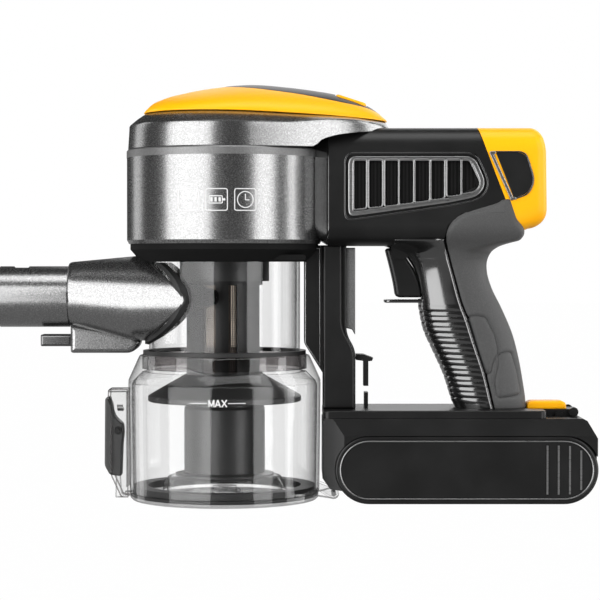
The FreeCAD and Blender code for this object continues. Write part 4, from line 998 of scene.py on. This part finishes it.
def makePrints():
    z, ink, half = prints["height"], prints["ink"], prints["size"] / 2
    settings = {"finish": "print", "body": "main_body", "lay": roundThe(prints["radius"]), "steps": 2}

    def line(name, corners):
        rim(name, corners, prints["line"], *ink, **settings)

    def patch(name, left, right, low, high, reach):
        slab(name, block(left, right, z + low, z + high, reach), *ink, **settings)

    for number, x in enumerate(prints["places"], 1):
        line(f"badgeFrame{number}", wrapped(block(x - half, x + half, z - half, z + half, 1.8)))
    fan, cell, clock = prints["places"]
    for blade in range(5):
        turn = math.radians(72 * blade + 18)
        c, n = math.cos(turn), math.sin(turn)
        slab(f"badgeBlade{blade + 1}", [
            (fan + a * c - b * n, z + a * n + b * c, 0.5)
            for a, b in ((1.3, -0.5), (4.9, -1.9), (5.2, 0.3), (3.2, 1.2), (1.4, 0.6))], *ink, **settings)
    slab("badgeHub", ringOutline(fan, z, 0.9, 16), *ink, **settings)
    line("badgeCell", wrapped(block(cell - 5, cell + 4, z - 2.6, z + 2.6, 0.9)))
    patch("badgePole", cell + 4.05, cell + 5.55, -0.75, 0.75, 0.3)
    for bar in range(3):
        x = cell - 3.2 + 2.6 * bar
        patch(f"badgeBar{bar + 1}", x - 0.75, x + 0.75, -1.4, 1.4, 0.2)
    line("badgeClock", ringOutline(clock, z, 5.4))
    patch("badgeHand1", clock - 0.3, clock + 0.3, -0.4, 3.6, 0.1)
    patch("badgeHand2", clock - 0.2, clock + 2.7, -0.5, 0.1, 0.1)


# two lines with a word between them; its strokes run from start to end in shares of a letter
fillMark = {
    "radius": 63.86, "z": 67.4, "lines": {"fillLeft": (-20.4, -8.9), "fillRight": (4.6, 15.8)},
    "first": -7.6, "pitch": 4.1, "wide": 3.2, "tall": 4.6, "stroke": 0.42, "ink": (0.03, 0.1, 0.02),
    "strokes": {
        "M": [(0, 0, 0, 1), (0, 1, 0.5, 0.1), (0.5, 0.1, 1, 1), (1, 1, 1, 0)],
        "A": [(0, 0, 0.5, 1), (0.5, 1, 1, 0), (0.2, 0.3, 0.8, 0.3)],
        "X": [(0, 0, 1, 1), (0, 1, 1, 0)],
    },
}


def makeFillMark():
    z, wide, tall = fillMark["z"], fillMark["wide"], fillMark["tall"]
    settings = {"finish": "print", "body": "bin", "lay": roundThe(fillMark["radius"])}
    for name, (start, end) in fillMark["lines"].items():
        slab(name, block(start, end, z - 0.3, z + 0.3, 0.1), *fillMark["ink"], **settings)
    for place, (letter, strokes) in enumerate(fillMark["strokes"].items()):
        left = fillMark["first"] + fillMark["pitch"] * place
        for number, (a, b, c, d) in enumerate(strokes, 1):
            start = np.array([left + wide * a, z + tall * (b - 0.5)])
            end = np.array([left + wide * c, z + tall * (d - 0.5)])
            across = (end - start)[::-1] * [-1, 1]
            across = across / np.linalg.norm(across) * fillMark["stroke"]
            corners = [start - across, end - across, end + across, start + across]
            corners = [(x, y, 0.1) for x, y in corners]
            slab(f"fill{letter}{number}", corners, *fillMark["ink"], **settings)


makePrints()
makeFillMark()
print("print")


# battery side covers: a rounded frame, a thin bright line and a flat inset
cover = {"left": 73.0, "right": 244.2, "tall": 44.4, "out": 38.0}


def pillOutline(inset):
    # two half circles, one at each end
    radius = cover["tall"] / 2
    turn = np.linspace(math.pi / 2, 3 * math.pi / 2, 28)
    u, v = (radius - inset) * np.cos(turn), (radius - inset) * np.sin(turn)
    x = np.concatenate([cover["left"] + radius + u, cover["right"] - radius - u])
    return [(a, b, 0.3) for a, b in zip(x, np.concatenate([radius + v, radius - v]))]


def makeCovers():
    out = -cover["out"]
    rim("coverFrame", pillOutline(0.0), 3.4, out + 0.05, out + 5.0, 1.4, "black_satin", "battery",
        ("battery_covers",), mirrored=True, steps=2)
    rim("coverLine", pillOutline(3.1), 0.75, out - 0.02, out + 1.6, 0.3, "silver_trim", "battery",
        mirrored=True, steps=2)
    slab("coverInset", pillOutline(3.4), out + 0.9, out + 5.0, 0.2, "black_satin", "battery",
         mirrored=True, steps=2)


makeCovers()
print("battery covers")


# latch: lever with its spring between two clear cheeks, each with a darker edge; that edge is painted
# shade, a thin smoked frame standing for the dark line of a clear wall seen edge on
latch = {
    "x": -70.6, "z": 45.5, "half": 6.6, "inside": 7.6, "outside": 9.4,
    "cheek": [(-63.7, 73.0, 0.6), (-76.8, 73.0, 1.6), (-77.2, 66.0, 1), (-75.2, 62.0, 2),
              (-75.2, 16.0, 2), (-68.4, 1.2, 1.5), (-63.6, 1.2, 0.6)],
    # outline of the smoked frame that paints a shaded edge round each cheek
    "rim": [(-63.7, 73.1, 0.6), (-76.9, 73.1, 1.6), (-77.3, 66.0, 1), (-75.3, 62.0, 2),
            (-75.3, 16.0, 2), (-68.4, 1.1, 1.5), (-63.5, 1.1, 0.6)],
    "coils": 5, "coil": 1.9, "springLong": 4.0, "springUp": 14.6,
}


def makeLatch():
    x, z, inside, outside = latch["x"], latch["z"], latch["inside"], latch["outside"]
    slab("latchPlate", [
        (x - 5.6, z + 22.6, 1.4), (x - 8.6, z + 21.4, 1.6), (x - 9.0, z - 23.5, 2),
        (x - 5.6, z - 29.6, 1.5), (x + 2.0, z - 30.6, 1.0), (x + 2.8, z - 9, 3), (x + 3.6, z - 2, 2),
        (x + 3.2, z + 4.0, 2), (x - 2.4, z + 9.0, 3), (x - 4.8, z + 18.0, 2),
    ], -latch["half"], latch["half"], 1.0, "latch_grey", "bin_latch", ("bin_latch",))
    slab("latchHook", [
        (x - 1.6, z - 28.6, 0.5), (x + 0.8, z - 28.6, 0.5), (x + 1.4, 5.6, 0.8), (x + 2.0, 3.4, 0.6),
        (x + 3.3, 2.0, 0.4), (x + 2.6, 0.6, 0.4), (x - 2.0, 0.6, 0.8),
    ], -5.0, 5.0, 0.4, "clear", "bin_latch")
    rim("latchHub", ringOutline(x, z, 2.9, 28), 1.2, -latch["half"] - 0.6, latch["half"] + 0.6, 0.3,
        "black_satin", "bin_latch")
    for number, (near, far) in enumerate(((-outside, -inside), (inside, outside)), 1):
        slab(f"latchCheek{number}", latch["cheek"], near, far, 0.5, "clear", "bin",
             ("latch_housing",) if number == 1 else ())
        # painted shade: a smoked frame darkens the edge of each cheek
        rim(f"latchEdgeShade{number}", latch["rim"], 0.7, near - 0.1, far + 0.1, 0.2, "smoked", "bin")
    slab("latchRoof", [(-63.8, 73.2, 0.3), (-76.6, 73.2, 1.0), (-77.0, 70.8, 0.6), (-63.8, 71.0, 0.3)],
         -inside, inside, 0.3, "clear", "bin")
    slab("latchBack", block(-65.2, -63.9, 8.0, 70.8, 0.2), -inside, inside, 0.2, "clear", "bin")
    # a helix along x
    share = np.linspace(0, 1, 120)
    turn, coil = 2 * math.pi * latch["coils"] * share, latch["coil"]
    path = np.stack([
        x - 1.0 + latch["springLong"] * share, coil * np.cos(turn),
        z + latch["springUp"] + coil * np.sin(turn)], axis=1)
    rod("latchSpring", path, 0.33, "steel", "bin", 8)


makeLatch()
print("latch")


# inlet funnel inside the chamber, and the lid's outer seal
funnel = {"start": (-33.5, -30.5, 134.2), "end": (-2.4, -36.4, 134.6), "wide": 12.0, "narrow": 3.9}


def makeFunnel():
    share = np.linspace(0, 1, 40)[:, None]
    path = np.array(funnel["start"]) * (1 - share) + np.array(funnel["end"]) * share
    radius = funnel["wide"] * (1 - share[:, 0]) ** 0.9 + funnel["narrow"] * share[:, 0] ** 0.7
    # the last rings close into a round end
    radius[-4:] *= [0.99, 0.93, 0.78, 0.4]
    rod("inletFunnel", path, radius, "funnel", "bin", 48)


def makeLidSeal():
    lathe("lidSeal", [(60.0, 2.5), (62.35, 2.5), (62.6, 2.9), (62.6, 4.3), (62.3, 4.6), (60.0, 4.6)],
          "seal_black", "bin_lid")


makeFunnel()
makeLidSeal()
print("funnel and lid seal")


# rear cap, and the neck where the barrel meets the motor housing
rearCap = {
    "half": 33.1, "top": 245.35, "low": 173.7, "rise": 5.6, "corner": 16.0, "round": 7.0,
    "joint": [(160.0, 196.0), (173.7, 191.1), (198.0, 185.2), (229.8, 171.7), (245.4, 166.3)],
    "rear": [(173.7, 203.6), (179.3, 207.3), (185.2, 210.3), (200.0, 211.3), (217.7, 211.7),
             (238.4, 209.4), (245.4, 207.6)],
}
neck = {"start": 55.8, "end": 69.2, "half": 20.6, "spread": 12.4, "low": 181.5, "fall": 13.2,
        "top": 239.2,
        "corner": 9, "tuck": 0.5}


def boxRing(half, low, top, corner):
    return roundedOutline(block(-half, half, low, top, corner), 8)


def makeRearCap():
    # rings of a rounded box from the slanted joint to the rear, the last ones drawn in
    # by a quarter circle
    edge = rearCap["round"]
    rows = [(share, 0.0, 0.0) for share in np.linspace(0, 1, 12)]
    rows += [(1.0, edge * (1 - math.cos(a)), edge * math.sin(a))
             for a in np.linspace(0, math.pi / 2, 9)[1:]]
    rows.append((1.0, edge + 0.15, edge))
    rings = []
    for share, inset, beyond in rows:
        low = rearCap["low"] + rearCap["rise"] * share + inset
        corner = max(rearCap["corner"] - inset, 6)
        ring = boxRing(rearCap["half"] - inset, low, rearCap["top"] - inset, corner)
        joint = curveThrough(rearCap["joint"], ring[:, 1])
        rear = curveThrough(rearCap["rear"], ring[:, 1]) - edge
        rings.append(np.stack([joint + (rear - joint) * share + beyond, ring[:, 0], ring[:, 1]], axis=1))
    putRings("rearCapShell", rings, "yellow", "main_body", ("rear_cap",), 40)


def makeBarrelNeck():
    # rings that widen and reach lower towards the barrel, the last one tucked in
    rings = []
    for share in np.linspace(0, 1, 16):
        x = neck["start"] + (neck["end"] - neck["start"]) * share
        tuck = neck["tuck"] * ease(x, neck["end"] - 0.6, neck["end"])
        half = neck["half"] + neck["spread"] * share ** 1.15 - tuck
        low = neck["low"] - neck["fall"] * share ** 0.55 + tuck
        ring = boxRing(half, low, neck["top"], neck["corner"] + 6 * share)
        rings.append(np.stack([np.full(len(ring), x), ring[:, 0], ring[:, 1]], axis=1))
    putRings("barrelNeck", rings, "black_gloss", "main_body", ("barrel_collar",), 50)


makeRearCap()
makeBarrelNeck()
print("rear cap and neck")


# inlet: a bullet that spreads sideways until it meets the round chamber; half heights and centres
# stand over their places along it
inlet = {
    "start": -103.0, "chamber": 52.6, "tip": -23.0, "half": (21.4, 47.2), "floor": 105.4, "tries": 30,
    "places": (-103.0, -59.0, -23.0), "tall": (21.5, 28.6, 30.2), "centre": (135.7, 132.7, 132.7),
}


def inletHalf(x):
    narrow, wide = inlet["half"]
    return narrow + (wide - narrow) * ((x - inlet["start"]) / (inlet["tip"] - inlet["start"])) ** 1.12


def makeInlet():
    turn = np.linspace(0, 2 * math.pi, 97)[:-1][None]
    # the outline on the chamber is found by trying each place again with its own width
    end = np.full(turn.shape, -45.0)
    for _ in range(inlet["tries"]):
        side = np.minimum(inletHalf(end) * np.abs(np.cos(turn)), inlet["chamber"] - 0.1)
        end = 0.5 * end - 0.5 * np.sqrt(inlet["chamber"] ** 2 - side**2)
    s = np.concatenate([[0.0], np.linspace(0.012, 1, 70)])[:, None]
    x = inlet["start"] + (end - inlet["start"]) * s
    tall = np.interp(x, inlet["places"], inlet["tall"])
    centre = np.interp(x, inlet["places"], inlet["centre"])
    # the mouth's edge is rounded off
    drop = 0.7 * (1 - s) ** 60
    points = np.stack([
        x, -(inletHalf(x) - drop) * np.cos(turn), centre + (tall - drop) * np.sin(turn)], axis=-1)
    points[..., 2] = np.maximum(points[..., 2], inlet["floor"])
    putMesh("inletBody", points, gridFaces(*x.shape, False, True), "graphite", "bin", ("inlet_housing",),
            sharp=40, wall=1.4)
    line = points[-1] + [0.5, 0, 0]
    line[:, 2] = np.maximum(line[:, 2], inlet["floor"] + 0.2)
    rod("inletSeal", line, 0.7, "seal_black", "bin", 12, True)


def makePlug():
    slab("plugBlock", [
        (-101.9, 115.2, 1.5), (-101.9, 97.0, 2.0), (-62.0, 97.0, 2.5), (-56.6, 101.0, 2.5),
        (-55.2, 105.2, 1.2), (-60.0, 108.6, 1.0),
    ], -9.8, 9.8, 3.2, "graphite", "bin", ("contact_block",))
    slab("plugStub", [
        (-121.9, 109.2, 1.2), (-121.9, 101.4, 1.2), (-101.0, 101.4, 0.3), (-101.0, 109.2, 0.3),
    ], -7.6, 7.6, 1.6, "black_gloss", "bin", ("contact_plug",))


makeInlet()
makePlug()
print("inlet")


# dust cup with its creased shoulder and hinge ears, and the cyclone's skirt
def makeCup():
    lathe("dustCup", [
        (61.0, 5.0), (63.2, 5.0), (64.0, 77.2), (63.55, 77.7), (64.0, 78.2), (63.7, 79.6), (56.9, 94.6),
        (56.2, 95.4), (54.75, 95.5), (54.75, 86.65), (51.3, 86.65), (51.3, 84.6), (54.6, 84.6),
        (60.6, 78.6), (61.8, 75.6),
    ], "clear", "bin", ("dust_cup",), 160, 25)
    for number, low in enumerate((-8.6, 5.6), 1):
        slab(f"cupEar{number}", [
            (61.6, 11.0, 0.5), (61.6, 5.1, 0.5), (63.4, 5.1, 0.5), (70.4, 0.4, 1.0), (75.2, 0.4, 2.4),
            (76.4, 5.4, 2.4), (72.0, 7.0, 2.0),
        ], low, low + 3.0, 0.4, "clear", "bin")
    lathe("cycloneSkirt", [
        (21.5, 82.6), (26.8, 82.6), (27.6, 81.9), (50.4, 68.9), (51.0, 68.0), (51.0, 65.4),
        (50.3, 64.8), (33.0, 64.8), (33.0, 66.4), (47.6, 66.4), (26.0, 79.4), (21.5, 79.4),
    ], "cyclone_grey", "bin", ("cyclone_skirt",), 128, 25)


makeCup()
print("cup and skirt")


# finger rest, battery button and the raised lines of the neck web
def makeSmallParts():
    slab("fingerRest", [
        (106.3, -9.6, 4), (136.0, -9.6, 0.5), (136.0, 9.6, 0.5), (106.3, 9.6, 4),
    ], 130.3, 132.4, 0.7, "black_gloss", "main_body", lay=planView)
    slab("buttonTop", [
        (201.0, 59.4, 0.6), (227.0, 59.4, 0.6), (227.0, 63.6, 2.0), (224.6, 65.1, 1.6),
        (203.4, 65.1, 1.6), (201.0, 63.6, 2.0),
    ], -7.9, 7.9, 1.6, "yellow", "battery_button", ("battery_button",))
    for number, (near, far) in enumerate(((-12.5, -11.4), (11.4, 12.5)), 1):
        rim(f"webLine{number}", [
            (53.6, 166.6, 0.4), (53.6, 103.4, 1.0), (63.6, 88.6, 0.4), (63.6, 166.6, 0.4),
        ], 0.55, near, far, 0.2, "silver_trim", "main_body")


makeSmallParts()
print("small parts")


# white surroundings; the floor lies below the reach of the dropped bin and its open lid
stage = {"floor": 0.8, "lit": 0.42, "glow": 1.0, "world": 0.045, "reach": 6.0, "low": -0.36}


def makeFloor():
    board = Board("floorPaper")
    fibre = board.noise(40, 3)
    seen = board.node("ShaderNodeLightPath", output="Is Camera Ray")
    paper = board.node("ShaderNodeEmission", {}, {
        "Color": board.mix(fibre, grey(0.99), grey(1.0)), "Strength": stage["glow"]})
    lit = board.node("ShaderNodeEmission", {}, {"Color": grey(stage["floor"]), "Strength": stage["lit"]})
    paper = board.node("ShaderNodeMixShader", {}, {0: seen, 1: lit, 2: paper})
    reach, low = stage["reach"], stage["low"]
    mesh = bpy.data.meshes.new("floor")
    mesh.from_pydata([(-reach, -reach, low), (reach, -reach, low), (reach, reach * 4, low),
                      (-reach, reach * 4, low)], [], [(0, 1, 2, 3)])
    mesh.materials.append(board.finish(paper))
    floor = bpy.data.objects.new("floor", mesh)
    bpy.context.scene.collection.objects.link(floor)


def makeWorld():
    # white to the camera, dim to everything it lights
    world = bpy.data.worlds.new("studio")
    bpy.context.scene.world = world
    world.use_nodes = True
    tree = world.node_tree
    tree.nodes.clear()
    both = tree.nodes.new("ShaderNodeMixShader")
    for slot, strength in ((1, stage["world"]), (2, stage["glow"])):
        sky = tree.nodes.new("ShaderNodeBackground")
        sky.inputs["Color"].default_value = grey(1.0)
        sky.inputs["Strength"].default_value = strength
        tree.links.new(sky.outputs[0], both.inputs[slot])
    path = tree.nodes.new("ShaderNodeLightPath")
    out = tree.nodes.new("ShaderNodeOutputWorld")
    tree.links.new(path.outputs["Is Camera Ray"], both.inputs[0])
    tree.links.new(both.outputs[0], out.inputs["Surface"])


# softboxes stand round the object: turn is degrees from the camera's side, towards the handle
softboxes = {
    "leftBox": {"turn": -42, "height": 0.30, "away": 1.05, "wide": 1.05, "tall": 1.3, "watts": 17},
    "rightStrip": {"turn": 47, "height": 0.30, "away": 1.10, "wide": 0.50, "tall": 1.3, "watts": 8},
    "rightFill": {"turn": 98, "height": 0.40, "away": 1.20, "wide": 0.8, "tall": 1.2, "watts": 11},
    "leftKick": {"turn": -118, "height": 0.30, "away": 1.20, "wide": 0.4, "tall": 1.3, "watts": 2.5},
    "topBox": {"turn": 20, "height": 1.35, "away": 0.25, "wide": 1.2, "tall": 0.6, "watts": 9},
    "backFill": {"turn": 165, "height": 0.7, "away": 1.2, "wide": 1.2, "tall": 1.0, "watts": 6},
}
lightAim = 0.14


def makeLights():
    middle = Vector(((cadBox[0][0] + cadBox[1][0]) / 2, 0, lightAim))
    for name, box in softboxes.items():
        lamp = bpy.data.lights.new(name, "AREA")
        lamp.shape, lamp.size, lamp.size_y = "RECTANGLE", box["wide"], box["tall"]
        lamp.energy = box["watts"]
        turn = math.radians(box["turn"])
        light = bpy.data.objects.new(name, lamp)
        light.location = middle + Vector((
            math.sin(turn) * box["away"], -math.cos(turn) * box["away"], box["height"] - lightAim))
        light.rotation_euler = (middle - light.location).to_track_quat("-Z", "Y").to_euler()
        bpy.context.scene.collection.objects.link(light)


# the camera stands level with the inlet, square to the side of the tool
eye = {"distance": 1.3233, "height": 0.1573, "aimX": 0.0503, "aimZ": 0.1320, "lens": 119.1}


def makeCamera():
    camera = bpy.data.cameras.new("camera")
    camera.lens, camera.sensor_width = eye["lens"], 36
    view = bpy.data.objects.new("camera", camera)
    view.location = (eye["aimX"], -eye["distance"], eye["height"])
    aim = Vector((eye["aimX"], 0, eye["aimZ"]))
    view.rotation_euler = (aim - view.location).to_track_quat("-Z", "Y").to_euler()
    bpy.context.scene.collection.objects.link(view)
    bpy.context.scene.camera = view
    bpy.context.scene.view_settings.view_transform = "Standard"


makeFloor()
makeWorld()
makeLights()
makeCamera()
print("stage, lights and camera")
